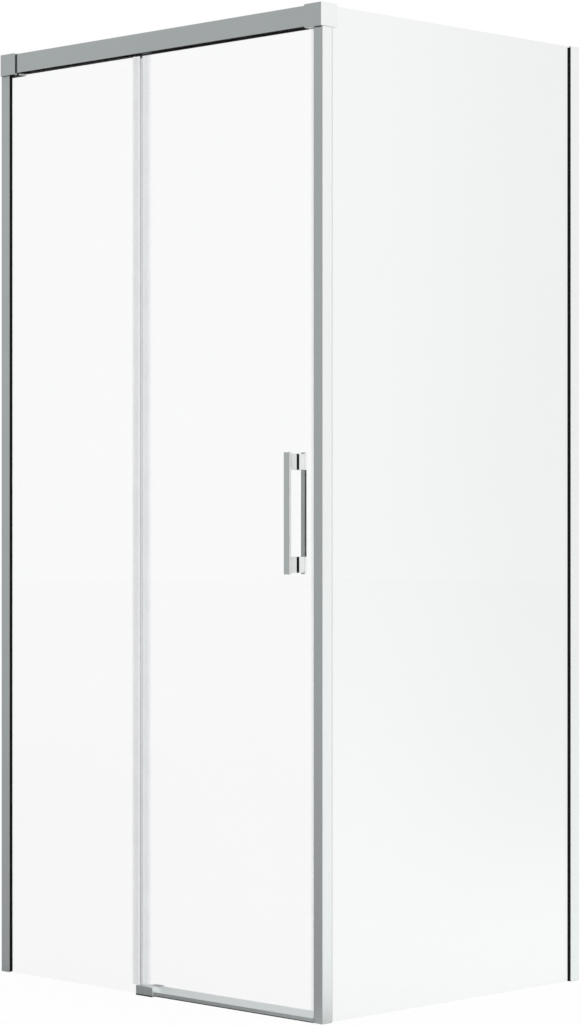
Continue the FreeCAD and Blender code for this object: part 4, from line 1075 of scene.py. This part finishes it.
@dataclass
class Gaskets:
    """Black glazing gaskets, drawn from the wall along the pane (u) and inwards from the face (v), in mm."""

    face: float = 28.0
    pocket: float = 12.0
    wall: float = 1.6
    glass: float = 6.0
    step: float = 0.4
    step_round: float = 0.2
    bead_round: float = 0.3
    inner: float = 2.0
    tooth: float = 0.45
    teeth: int = 4
    slim: float = 0.6
    inner_lip: float = 20.0
    inner_start: float = 8.0
    inner_nose: tuple[Point2, ...] = ((0.7, 0.0), (0.85, 0.25), (0.4, 1.1))
    front_recess: float = 3.4
    side_recess: float = 4.6

    def teeth_points(self, start: float, end: float, level: float, depth: float) -> list[Point2]:
        """Points of the gripping teeth along one side of a gasket.

        Args:
            start: u of the first point.
            end: u of the last point.
            level: v of the side.
            depth: depth of the notches, towards the pane.

        Returns:
            The points from start to end.
        """
        pitch = (end - start) / self.teeth
        points: list[Point2] = [(start, level)]
        for k in range(self.teeth):
            at = start + pitch * (k + 0.5)
            points += [(at - self.tooth, level), (at, level + depth), (at + self.tooth, level)]
        return points + [(end, level)]

    def outer(self, recess: float, bead: float) -> list[Point2]:
        """Section of the wedge outside a pane, with a bead that ends this far past the lip."""
        lip, step = self.face, self.step
        root = self.teeth_points(lip - self.pocket, lip, self.wall, self.tooth)
        nose = rounded([(lip, step), (lip + step, step, self.step_round),
                        (lip + bead, recess - step, self.bead_round), (lip + bead, recess), (lip, recess)])
        return root + nose[:-1] + [(lip - self.pocket, recess)]

    def lining(self, recess: float, lip: float) -> list[Point2]:
        """Section of the wedge between a pane and the inner lip."""
        pane = recess + self.glass
        start = lip - self.pocket + self.inner_start
        teeth = self.teeth_points(start, lip, pane + self.inner, -self.tooth)
        return [(start, pane), *((lip + u, pane + v) for u, v in self.inner_nose)] + teeth[::-1][:-1]

    def build(self) -> None:
        """Build and dress the gaskets."""
        low, high = box_mm("wall_profile_front")
        self.pair("front", low.x, low.y, False, self.front_recess, self.inner_lip)
        low, high = box_mm("wall_profile_side")
        self.pair("side", high.y, high.x, True, self.side_recess, self.inner_lip)
        low, high = box_mm("corner_post")
        self.pair("post", high.y - self.face, high.x, True, self.side_recess, self.face)

    def pair(self, name: str, start: float, outer: float, along_y: bool, recess: float, lip: float) -> None:
        """Build the outer and the inner gasket of one member.

        Args:
            name: start of the node names.
            start: coordinate of u = 0.
            outer: coordinate of v = 0.
            along_y: whether u runs along Y, for the side pane.
            recess: pane behind the outer face.
            lip: u of the inner lip's end.
        """
        post = name == "post"
        low, high = box_mm(f"{name}_gasket_outer")
        along = high.y - low.y if along_y else high.x - low.x
        bead = (along - self.pocket) * (self.slim if post else 1.0)
        for kind, section in (("outer", self.outer(recess, bead)), ("inner", self.lining(recess, lip))):
            if along_y:
                spots = [(outer - v, start + (u if post else -u)) for u, v in section]
            else:
                spots = [(start + u, outer + v) for u, v in section]
            node = f"{name}_gasket_{kind}"
            upright_strip(node, node + "_strip", "frame", "rubber_black", spots)


@dataclass
class RailStrips:
    """Black strips in the lower edge of the head rail."""

    edge: float = 0.5
    slit: float = 0.5
    wall: float = 1.6
    tip: float = 0.3
    fillet: float = 0.4

    def build(self) -> None:
        """Build and dress the two strips."""
        edge, slit, wall, tip, fillet = self.edge, self.slit, self.wall, self.tip, self.fillet
        low, high = box_mm("head_rail_glazing_strip")
        pane_low, pane_high = box_mm("fixed_glass")
        level_strip("head_rail_glazing_strip", "rail_glazing_strip", "frame", "rubber_black", rounded([
            (low.y, low.z, edge), (pane_low.y, low.z, edge), (pane_low.y, pane_high.z),
            (pane_high.y, pane_high.z), (pane_high.y, low.z, slit / 2), (high.y, low.z, slit / 2),
            (high.y, high.z), (low.y, high.z)]))
        low, high = box_mm("head_rail_infill_strip")
        middle = (low.y + high.y) / 2
        level_strip("head_rail_infill_strip", "rail_infill_strip", "frame", "rubber_black", rounded([
            (low.y, low.z, edge), (middle - slit, low.z), (middle, low.z + slit), (middle + slit, low.z),
            (high.y, low.z, edge), (high.y, high.z, tip), (high.y - wall, high.z, tip),
            (high.y - wall, low.z + wall, fillet), (low.y + wall, low.z + wall, fillet),
            (low.y + wall, high.z, tip), (low.y, high.z, tip)]))


# ---------------------------------------------------------------- clear seals


@dataclass
class Seals:
    """Clear seals of the fixed pane and the door, and the magnetic strip of the post, in mm."""

    wall: float = 0.8
    fin: float = 1.0
    fin_lean: float = 0.8
    fin_rounding: float = 2.2
    edge: float = 0.3
    root: float = 0.2
    lip: float = 1.2
    lip_lean: float = 0.6
    lip_round: float = 0.25
    gap: float = 0.12
    chamber: float = 1.2
    magnet_round: float = 0.6
    rim: float = 0.6
    # width of the band of painted shade at the seal's inner end, in mm
    shade: float = 1.0

    def build(self) -> None:
        """Build and dress the seals."""
        self.fixed_edge()
        self.door_overlap()
        self.door_closing()
        self.door_bottom()
        low, high = box_mm("corner_post_magnet")
        upright_strip("corner_post_magnet", "post_magnet_strip", "frame", "magnet_grey", rounded([
            (low.x, low.y, self.magnet_round), (high.x, low.y), (high.x, high.y),
            (low.x, high.y, self.magnet_round)]))

    def clip(self, node: str, name: str, body: str, section: Sequence[Sequence[float]]) -> Object:
        """Build an upright clear seal from its section with rounded corners."""
        return upright_strip(node, name, body, "seal_clear", rounded(section))

    def around(self, node: str) -> tuple[Point3, Point3]:
        """Box of a pane with the gap that its seals keep from it, in mm."""
        low, high = box_mm(node)
        return tuple(c - self.gap for c in low), tuple(c + self.gap for c in high)

    def fixed_edge(self) -> None:
        """Clip on the free edge of the fixed pane, with a curved fin."""
        low, high = box_mm("fixed_glass_edge_seal")
        pane = box_mm("fixed_glass")[1]
        (_, front, _), (end, back, _) = self.around("fixed_glass")
        fin = self.fin / self.fin_rounding
        clip = self.clip("fixed_glass_edge_seal", "seal_fixed_edge", "frame", [
            (low.x, low.y, self.edge), (high.x, low.y, self.edge), (high.x, high.y, fin),
            (high.x - self.fin, high.y, fin),
            (high.x - self.fin * self.fin_lean, pane.y + self.wall, self.root),
            (low.x, pane.y + self.wall, self.edge), (low.x, back), (end, back), (end, front), (low.x, front)])
        refaced(clip, "seal_rim", lambda face: abs(face.normal.x) > self.rim)
        # a narrow band of the seal's faces that look back along the pane is painted darker: painted shade
        refaced(clip, "seal_shade", lambda face: looks(face, Axis.X, -1.0, self.rim)
                and face.center.x < (low.x + self.shade) * MM)

    def door_overlap(self) -> None:
        """Clip on the trailing edge of the door, with a fin towards the fixed pane."""
        low, high = box_mm("door_overlap_seal")
        pane = box_mm("door_glass")[0]
        (end, front, _), (_, back, _) = self.around("door_glass")
        fin = self.fin / self.fin_rounding
        self.clip("door_overlap_seal", "seal_door_overlap", "door", [
            (low.x, low.y, fin), (low.x + self.fin, low.y, fin),
            (low.x + self.fin * self.fin_lean, pane.y - self.wall, self.root),
            (high.x, pane.y - self.wall, self.edge), (high.x, front), (end, front), (end, back),
            (high.x, back), (high.x, high.y, self.edge), (low.x, high.y, self.edge)])

    def door_closing(self) -> None:
        """Clip on the closing edge of the door, with its rounded magnet chamber."""
        low, high = box_mm("door_closing_seal")
        (_, front, _), (end, back, _) = self.around("door_glass")
        self.clip("door_closing_seal", "seal_door_closing", "door", [
            (low.x, low.y, self.edge), (high.x, low.y, self.chamber), (high.x, high.y, self.chamber),
            (low.x, high.y, self.edge), (low.x, back), (end, back), (end, front), (low.x, front)])

    def door_bottom(self) -> None:
        """Drip seal on the bottom edge of the door, with a bevelled lip."""
        low, high = box_mm("door_bottom_seal")
        pane = box_mm("door_glass")[0]
        (_, front, foot), (_, back, _) = self.around("door_glass")
        shoulder = pane.z - self.wall
        level_strip("door_bottom_seal", "seal_door_bottom", "door", "seal_clear", rounded([
            (low.y, shoulder, self.edge), (high.y - self.lip, shoulder, self.root),
            (high.y - self.lip * self.lip_lean, low.z, self.lip_round), (high.y, low.z, self.lip_round),
            (high.y, high.z, self.edge), (back, high.z), (back, foot), (front, foot), (front, high.z),
            (low.y, high.z, self.edge)]))


# ---------------------------------------------------------------- handle


@dataclass
class Handle:
    """Pull handle on both faces of the door."""

    edge: float = 0.25 * MM
    screw_edge: float = 0.1 * MM
    corner: float = 2.4

    def build(self) -> None:
        """Build and dress the handle."""
        for node in ("handle_outer_bar", "handle_outer_standoffs", "handle_inner_standoffs"):
            piece = softened(node, node + "_piece", "door", "handle_metal", self.edge)
            # faces that look along +X take a lighter copy of the metal: painted light
            refaced(piece, "handle_bright", lambda face: looks(face, Axis.X))
        lower, upper = solids_of("handle_inner_standoffs")
        start, end = lower[1].z, upper[0].z
        grip = softened("handle_inner_bar", "handle_inner_bar_piece", "door", "handle_metal", self.edge,
                        cuts=[(Axis.Z, start), (Axis.Z, end)])
        # the grip's front, seen through the glass, is painted darker: painted shade
        refaced(grip, "handle_dim", lambda face: looks(face, Axis.Y, -1.0))
        # the grip's faces that look along +X are painted lighter: painted light
        refaced(grip, "handle_bright", lambda face: looks(face, Axis.X))
        # between the standoffs the grip's faces along +X are painted near black: painted shade
        refaced(grip, "handle_shade", lambda face: looks(face, Axis.X) and start < face.center.z / MM < end)
        for node in ("handle_studs", "handle_grub_screws"):
            softened(node, node + "_set", "door", "screw_steel", self.screw_edge)
        self.sleeves()

    def sleeves(self) -> None:
        """Black washers that fill the cut-outs of the glass without a gap."""
        outlines = []
        reach = 0.0
        for low, high in solids_of("handle_sleeves"):
            shape = rounded([(x, z, self.corner) for x, z in (
                (low.x, low.z), (high.x, low.z), (high.x, high.z), (low.x, high.z))], 6)
            outlines.append([(x, low.y, z) for x, z in shape])
            reach = high.y - low.y
        strip("handle_glass_washers", "door", "rubber_black", outlines, (0.0, reach, 0.0), "handle_sleeves")


# ---------------------------------------------------------------- rollers


@dataclass
class Rollers:
    """Door rollers: grooved tyres, bearings, bolts and nuts; sections are (radius, height) in mm."""

    tyre: tuple[Point2, ...] = (
        (8.0, -2.8), (8.6, -2.8), (8.9, -2.4), (11.0, -2.4), (11.2, -2.8), (11.7, -2.8), (11.95, -2.6),
        (12.0, -2.3), (11.9, -1.75), (11.2, -1.2), (10.55, -0.85), (10.45, -0.7))
    bearing: tuple[Point2, ...] = (
        (4.2, -2.1), (6.6, -2.1), (6.75, -2.3), (6.95, -2.3), (7.1, -2.5), (7.8, -2.5), (8.0, -2.3))
    inner_ring: float = 4.15
    inner_ring_edge: float = 0.25
    spacer: float = 6.0
    spacer_edge: float = 0.2
    bush: float = 5.0
    bush_edge: float = 0.2
    bush_flange: float = 8.0
    bush_flange_edge: float = 0.3
    bush_flange_height: float = 1.0
    bolt: float = 2.5
    bolt_tip: float = 2.1
    bolt_root: float = 2.25
    bolt_thread: Point2 = (0.4, 3.2)
    bolt_pitch: float = 0.7
    bolt_head_height: float = 2.0
    bolt_head: tuple[Point2, ...] = ((4.5, 0.0), (4.5, 1.1), (4.2, 1.6), (3.6, 1.9))
    bolt_crown: float = 2.6
    socket: float = 1.5
    socket_depth: float = 1.3
    socket_above: float = 0.5
    nut_across: float = 9.0
    nut_corner: float = 0.58
    nut_edge: float = 0.45
    nut_above: float = 1.0
    steps: int = 64

    def build(self) -> None:
        """Build and dress both rollers, and the parts that stay on the door."""
        centres = []
        for side in ("left", "right"):
            low, high = box_mm(f"roller_{side}_tyre")
            centres.append((low + high) / 2)
            self.wheel("roller_" + side, centres[-1])
        for node, name, finish, unit in (
            ("roller_bearing_rings", "roller_inner_rings", "screw_steel", self.ring_unit),
            ("roller_spacers", "roller_spacer_set", "screw_steel", self.spacer_unit),
            ("roller_bushes", "roller_bush_set", "nylon_dark", self.bush_unit),
            ("roller_bolts", "roller_bolt_set", "screw_steel", self.bolt_unit),
            ("roller_nuts", "roller_nut_set", "screw_steel", self.nut_unit),
        ):
            low, high = box_mm(node)
            mesh = unit(low.y - centres[0].y, high.y - centres[0].y)
            placed(name, "door", finish, mesh, centres, FACING_BACK, node)

    def wheel(self, body: str, centre: Vector) -> None:
        """Build the turning parts of one roller, each with its section mirrored about the middle."""
        for part, finish, half in (("tyre", "nylon_dark", self.tyre),
                                   ("bearing", "screw_steel", self.bearing)):
            name = f"{body}_{part}"
            outline = [*half, *((radius, -height) for radius, height in reversed(half))]
            mesh = lathe(name + "_unit", outline, self.steps, True)
            placed(name + "_wheel", body, finish, mesh, [centre], FACING_BACK, name)

    def ring_unit(self, start: float, end: float) -> Mesh:
        """Inner ring of a bearing, between two heights on the axle."""
        outline = ring_outline(self.bolt, self.inner_ring, start, end, self.inner_ring_edge)
        return lathe("ring_unit", outline, self.steps, True)

    def spacer_unit(self, start: float, end: float) -> Mesh:
        """Spacer between bearing and bush."""
        outline = ring_outline(self.bolt, self.spacer, start, end, self.spacer_edge)
        return lathe("spacer_unit", outline, self.steps, True)

    def bush_unit(self, start: float, end: float) -> Mesh:
        """Flanged bush that lines the hole in the glass."""
        flange, plate = self.bush_flange, start + self.bush_flange_height
        return lathe("bush_unit", [
            (self.bolt, start), (flange - self.bush_flange_edge, start),
            (flange, start + self.bush_flange_edge),
            (flange, plate), (self.bush, plate), (self.bush, end - self.bush_edge),
            (self.bush - self.bush_edge, end), (self.bolt, end)], self.steps, True)

    def bolt_unit(self, start: float, end: float) -> Mesh:
        """Bolt with thread ridges and a hexagonal socket in its domed head."""
        head = end - self.bolt_head_height
        first, last = self.bolt_thread
        thread = ridges(self.bolt_root, self.bolt, start + first, start + last, self.bolt_pitch)
        blank = lathe("bolt_unit", [
            (0.0, start), (self.bolt_tip, start), *thread, (self.bolt, head),
            *((radius, head + height) for radius, height in self.bolt_head), (self.bolt_crown, end),
            (0.0, end)], self.steps, False)
        hexagon = polygon(6, self.socket)
        tool = frustum("socket_unit", hexagon, hexagon, end + self.socket_above, end - self.socket_depth)
        return carved(blank, tool, "DIFFERENCE")

    def nut_unit(self, start: float, end: float) -> Mesh:
        """Hexagonal nut with bevelled faces."""
        across, edge = self.nut_across, self.nut_edge
        core = lathe("nut_unit", [
            (self.bolt, start), (across / 2, start), (across * self.nut_corner, start + edge),
            (across * self.nut_corner, end - edge), (across / 2, end), (self.bolt, end)], self.steps, True)
        hexagon = polygon(6, across / math.sqrt(3))
        tool = frustum("nut_bar", hexagon, hexagon, end + self.nut_above, start - self.nut_above)
        return carved(core, tool, "INTERSECT")


# ---------------------------------------------------------------- fasteners


@dataclass(frozen=True)
class ScrewSize:
    """Sizes of a cross-recessed pan-head screw, in mm; dome, cross and taper are shares of the head."""

    head: float = 3.2
    height: float = 1.8
    shank: float = 1.5
    pitch: float = 0.9
    root: float = 0.8
    plain: float = 0.6
    steps: int = 40
    dome: tuple[Point2, ...] = ((0.96, 0.0), (1.0, 0.06), (1.0, 0.4), (0.93, 0.7), (0.76, 0.92), (0.45, 1.0))
    cross_reach: float = 0.47
    cross_width: float = 0.13
    cross_foot: float = 0.4
    cross_above: float = 0.15
    taper: float = 0.55

    def unit(self, name: str, length: float) -> Mesh:
        """Model one screw with its head's underside at the origin.

        Args:
            name: name of the mesh.
            length: length under the head, in mm.

        Returns:
            The mesh, head up.
        """
        radius, height, shank = self.head, self.height, self.shank
        thread = ridges(shank * self.root, shank, -length + shank, -self.plain, self.pitch)
        dome = [(radius * out, height * up) for out, up in self.dome]
        blank = lathe(name, [(0.0, -length), *thread, (shank, 0.0), *dome, (0.0, height)], self.steps, False)
        arm, half = self.cross_reach * radius, self.cross_width * radius
        cross = [(half, half), (arm, half), (arm, -half), (half, -half), (half, -arm), (-half, -arm),
                 (-half, -half), (-arm, -half), (-arm, half), (-half, half), (-half, arm), (half, arm)]
        tip = [(x * self.taper, y * self.taper) for x, y in cross]
        recess = frustum(name + "_recess", cross, tip, height + self.cross_above, height * self.cross_foot)
        return carved(blank, recess, "DIFFERENCE")


@dataclass
class Fasteners:
    """All the small screws of the enclosure."""

    small: ScrewSize = ScrewSize()
    stout: ScrewSize = ScrewSize(head=5.0, shank=2.4, pitch=1.2)

    def build(self) -> None:
        """Build and dress the screws."""
        for node, size, axis, turn in (
            ("wall_profile_front_screws", self.small, Axis.Y, FACING_BACK),
            ("wall_profile_side_screws", self.small, Axis.X, FACING_LEFT),
            ("corner_post_screw", self.small, Axis.X, FACING_LEFT),
            ("head_rail_wall_cap_screw", self.small, Axis.Y, FACING_BACK),
            ("head_rail_screws", self.small, Axis.Y, FACING_BACK),
            ("door_guide_screw", self.stout, Axis.Y, FACING_BACK),
        ):
            self.on_node(node, size, axis, turn)

    def on_node(self, node: str, size: ScrewSize, axis: Axis, turn: Point3) -> None:
        """Set detailed screws where a CAD node has plain ones.

        Args:
            node: CAD node of the screws.
            size: sizes of the screw.
            axis: direction of the screws.
            turn: rotation from upright, which also says which way the heads face.
        """
        k = axis.value
        by_length: dict[float, list[Vector]] = {}
        for low, high in solids_of(node):
            spot = (low + high) / 2
            spot[k] = high[k] - size.height if turn == FACING_BACK else low[k] + size.height
            by_length.setdefault(round(high[k] - low[k] - size.height, 1), []).append(spot)
        for number, (length, spots) in enumerate(sorted(by_length.items()), 1):
            name = f"{node}_cross_{number}"
            placed(name, "frame", "screw_steel", size.unit(name + "_unit", length), spots, turn, node)


# ---------------------------------------------------------------- door guide


@dataclass
class DoorGuide:
    """Guide block at the foot of the fixed pane."""

    edge: float = 0.3 * MM
    pad_edge: float = 0.05 * MM
    sleeve_edge: float = 0.1 * MM
    # height of the painted contact shade along the guide shell's front foot, in mm
    foot: float = 3.0

    def build(self) -> None:
        """Build and dress the guide."""
        shell = softened("door_guide_cover", "guide_block_shell", "frame", "cap_metal", self.edge,
                         cuts=[(Axis.Z, self.foot)])
        # the guide shell's faces along +X are painted lighter: painted light
        refaced(shell, "aluminium_bright", lambda face: looks(face, Axis.X))
        # the guide shell's front foot is painted dark: painted contact shade
        refaced(shell, "joint_dark",
                lambda face: looks(face, Axis.Y, -1.0) and face.center.z < self.foot * MM)
        softened("door_guide_body", "guide_block_core", "frame", "nylon_pale", self.edge)
        softened("door_guide_pads", "guide_block_pads", "frame", "pad_white", self.pad_edge)
        softened("door_guide_sleeve", "guide_screw_sleeve", "frame", "nylon_dark", self.sleeve_edge)


# ---------------------------------------------------------------- studio


@dataclass
class Glow:
    """Soft bright area of the studio, by its direction; a tall one reaches from floor to ceiling."""

    aim: Point3
    low: float
    high: float
    gain: float
    tall: bool = False


@dataclass
class Studio:
    """Camera, floor, backdrop and lights; ranges of directions are cosines."""

    camera_place: Point3 = (4.69027, -4.68895, 1.01643)
    camera_turn: float = 44.918
    focal_px: float = 3007.38
    image_height: int = 1025
    horizon_px: float = 515.04
    sensor: float = 36.0
    sight: float = 200.0
    floor_size: float = 60.0
    # grey on the left and pale on the right, as seen in reflections: painted light
    floor_painted_tones: Point2 = (0.40, 0.80)
    floor_glow: float = 0.42
    floor_rise: Point2 = (-0.3, 0.8)
    floor_shadow: float = 0.06
    shadow_tone: float = 0.95
    floor_fade: Point2 = (2.5, 12.0)
    base_level: float = 0.36
    glows: tuple[Glow, ...] = (Glow((-0.809, -0.588, 0.0), 0.968, 1.0, 0.36, True),
                               Glow((-0.706, 0.708, 0.0), 0.80, 0.93, 0.62, True),
                               Glow((1.0, 0.45, 0.15), 0.35, 0.90, 1.03),
                               Glow((0.0, 0.0, 1.0), 0.30, 1.00, 0.40))
    warm_aim: Point3 = (1.0, 0.45, 0.0)
    warm_range: Point2 = (0.3, 0.8)
    warm_tone: Colour = (1.045, 0.990, 0.985)
    window_azimuth: float = 48.8
    window_gain: float = 0.27
    window_aside: Point2 = (0.07, 0.15)
    window_above: Point2 = (0.19, 0.30)
    window_ahead: Point2 = (0.5, 0.8)
    lamp_size: float = 4.0
    lamp_power: float = 34.0
    lamp_place: Point3 = (0.6, -0.6, 5.0)

    def build(self) -> None:
        """Build the whole studio."""
        self.camera()
        self.world()
        self.floor()
        self.lamp()
        bpy.context.scene.view_settings.view_transform = "Standard"

    def camera(self) -> None:
        """Place the camera of the photograph."""
        data = bpy.data.cameras.new("camera")
        data.sensor_width = self.sensor
        data.sensor_fit = "AUTO"
        data.lens = self.focal_px / self.image_height * self.sensor
        data.shift_y = (self.horizon_px - self.image_height / 2) / self.image_height
        data.clip_end = self.sight
        camera = object_of("camera", data)
        camera.location = self.camera_place
        camera.rotation_euler = (math.pi / 2, 0.0, math.radians(self.camera_turn))
        bpy.context.scene.camera = camera

    def seen_plainly(self, n: Nodes) -> NodeSocket:
        """Factor that is 1 for what the camera sees directly or through glass, with no mirroring between."""
        path = n.add("ShaderNodeLightPath")
        direct = n.math("MAXIMUM", path.outputs["Is Camera Ray"], path.outputs["Is Transmission Ray"])
        turned = n.math("ADD", path.outputs["Glossy Depth"], path.outputs["Diffuse Depth"])
        return n.math("MULTIPLY", direct, n.math("LESS_THAN", turned, 0.5))

    def toward(self, n: Nodes, way: NodeSocket, aim: Point3) -> NodeSocket:
        """Cosine between the world's direction and an aim."""
        aim = Vector(aim).normalized()
        return n.add("ShaderNodeVectorMath", {0: way, 1: aim}, operation="DOT_PRODUCT").outputs["Value"]

    def dark_window(self, n: Nodes, way: NodeSocket) -> NodeSocket:
        """Mask of the dim opening that the side pane mirrors."""
        turn = math.radians(self.window_azimuth)
        ahead = self.toward(n, way, (math.cos(turn), math.sin(turn), 0.0))
        aside = n.math("ABSOLUTE", self.toward(n, way, (math.sin(turn), -math.cos(turn), 0.0)))
        above = n.math("ABSOLUTE", self.toward(n, way, (0.0, 0.0, 1.0)))
        mask = n.math("MULTIPLY", n.ramp(aside, *self.window_aside, 1.0, 0.0),
                      n.ramp(above, *self.window_above, 1.0, 0.0))
        return n.math("MULTIPLY", mask, n.ramp(ahead, *self.window_ahead, 0.0, self.window_gain))

    def world(self) -> None:
        """White backdrop, with a soft studio around it for light and reflections."""
        world = bpy.data.worlds.new("studio")
        bpy.context.scene.world = world
        n = emptied(world)
        way = n.add("ShaderNodeTexCoord").outputs["Generated"]
        flat = n.add("ShaderNodeVectorMath", {0: way, 1: (1.0, 1.0, 0.0)}, operation="MULTIPLY")
        level_way = n.add("ShaderNodeVectorMath", {0: flat.outputs[0]}, operation="NORMALIZE").outputs[0]
        level: object = self.base_level
        for glow in self.glows:
            cosine = self.toward(n, level_way if glow.tall else way, glow.aim)
            level = n.math("ADD", level, n.ramp(cosine, glow.low, glow.high, 0.0, glow.gain))
        level = n.math("MULTIPLY", level, n.math("SUBTRACT", 1.0, self.dark_window(n, way)))
        side = n.ramp(self.toward(n, way, self.warm_aim), *self.warm_range, 0.0, 1.0)
        tone = n.blend(side, rgba(WHITE), rgba(self.warm_tone))
        room = n.add("ShaderNodeBackground", {"Strength": level, "Color": tone})
        white = n.add("ShaderNodeBackground", {"Color": rgba(WHITE), "Strength": 1.0})
        mix = n.mix(self.seen_plainly(n), room, white)
        n.add("ShaderNodeOutputWorld", {"Surface": mix.outputs[0]})

    def floor(self) -> None:
        """Pale floor that reads as white and keeps a faint shadow; in reflections and bounced light it is
        painted grey on the left and lighter and glowing on the right: painted light.
        """
        half = self.floor_size / 2
        corners = [(-half, -half, 0), (half, -half, 0), (half, half, 0), (-half, half, 0)]
        floor = object_of("floor", mesh_of("floor", corners, [(0, 1, 2, 3)]))
        material = bpy.data.materials.new("floor")
        n = emptied(material)
        spot = n.place()
        place = n.add("ShaderNodeSeparateXYZ", {0: spot})
        # painted light: the floor grows lighter and glows towards the right, as seen in reflections
        across = n.math("ADD", place.outputs["X"], place.outputs["Y"])
        right = n.ramp(across, *self.floor_rise, 0.0, 1.0)
        tone = n.blend(right, *(rgba((level,) * 3) for level in self.floor_painted_tones))
        matt = n.add("ShaderNodeBsdfDiffuse", {"Color": tone})
        lift = n.add("ShaderNodeEmission", {"Strength": n.math("MULTIPLY", right, self.floor_glow)})
        near = n.add("ShaderNodeAddShader", {0: matt.outputs[0], 1: lift.outputs[0]})
        reach = n.add("ShaderNodeVectorMath", {0: spot}, operation="LENGTH").outputs["Value"]
        fade = n.ramp(reach, *self.floor_fade, 0.0, 1.0)
        around = n.mix(fade, near, n.add("ShaderNodeBsdfTransparent"))
        pale = n.add("ShaderNodeBsdfDiffuse", {"Color": rgba((self.shadow_tone,) * 3)})
        glow = n.add("ShaderNodeEmission", {"Strength": 1.0})
        shown = n.mix(self.floor_shadow, glow, pale)
        mix = n.mix(self.seen_plainly(n), around, shown)
        n.add("ShaderNodeOutputMaterial", {"Surface": mix.outputs[0]})
        floor.data.materials.append(material)

    def lamp(self) -> None:
        """One wide soft lamp overhead, out of the camera's sight."""
        data = bpy.data.lights.new("lamp_top", "AREA")
        data.shape = "SQUARE"
        data.size = self.lamp_size
        data.energy = self.lamp_power
        lamp = object_of("lamp_top", data)
        lamp.location = self.lamp_place
        lamp.visible_camera = False
        lamp.visible_transmission = False


def main() -> None:
    """Build the enclosure's looks in order."""
    logging.basicConfig(level=logging.INFO, format="%(name)s: %(message)s")
    for part in (Framework(), Panes(), Gaskets(), RailStrips(), Seals(), Handle(), Rollers(), Fasteners(),
                 DoorGuide(), Studio()):
        part.build()


if __name__ == "__main__":
    main()
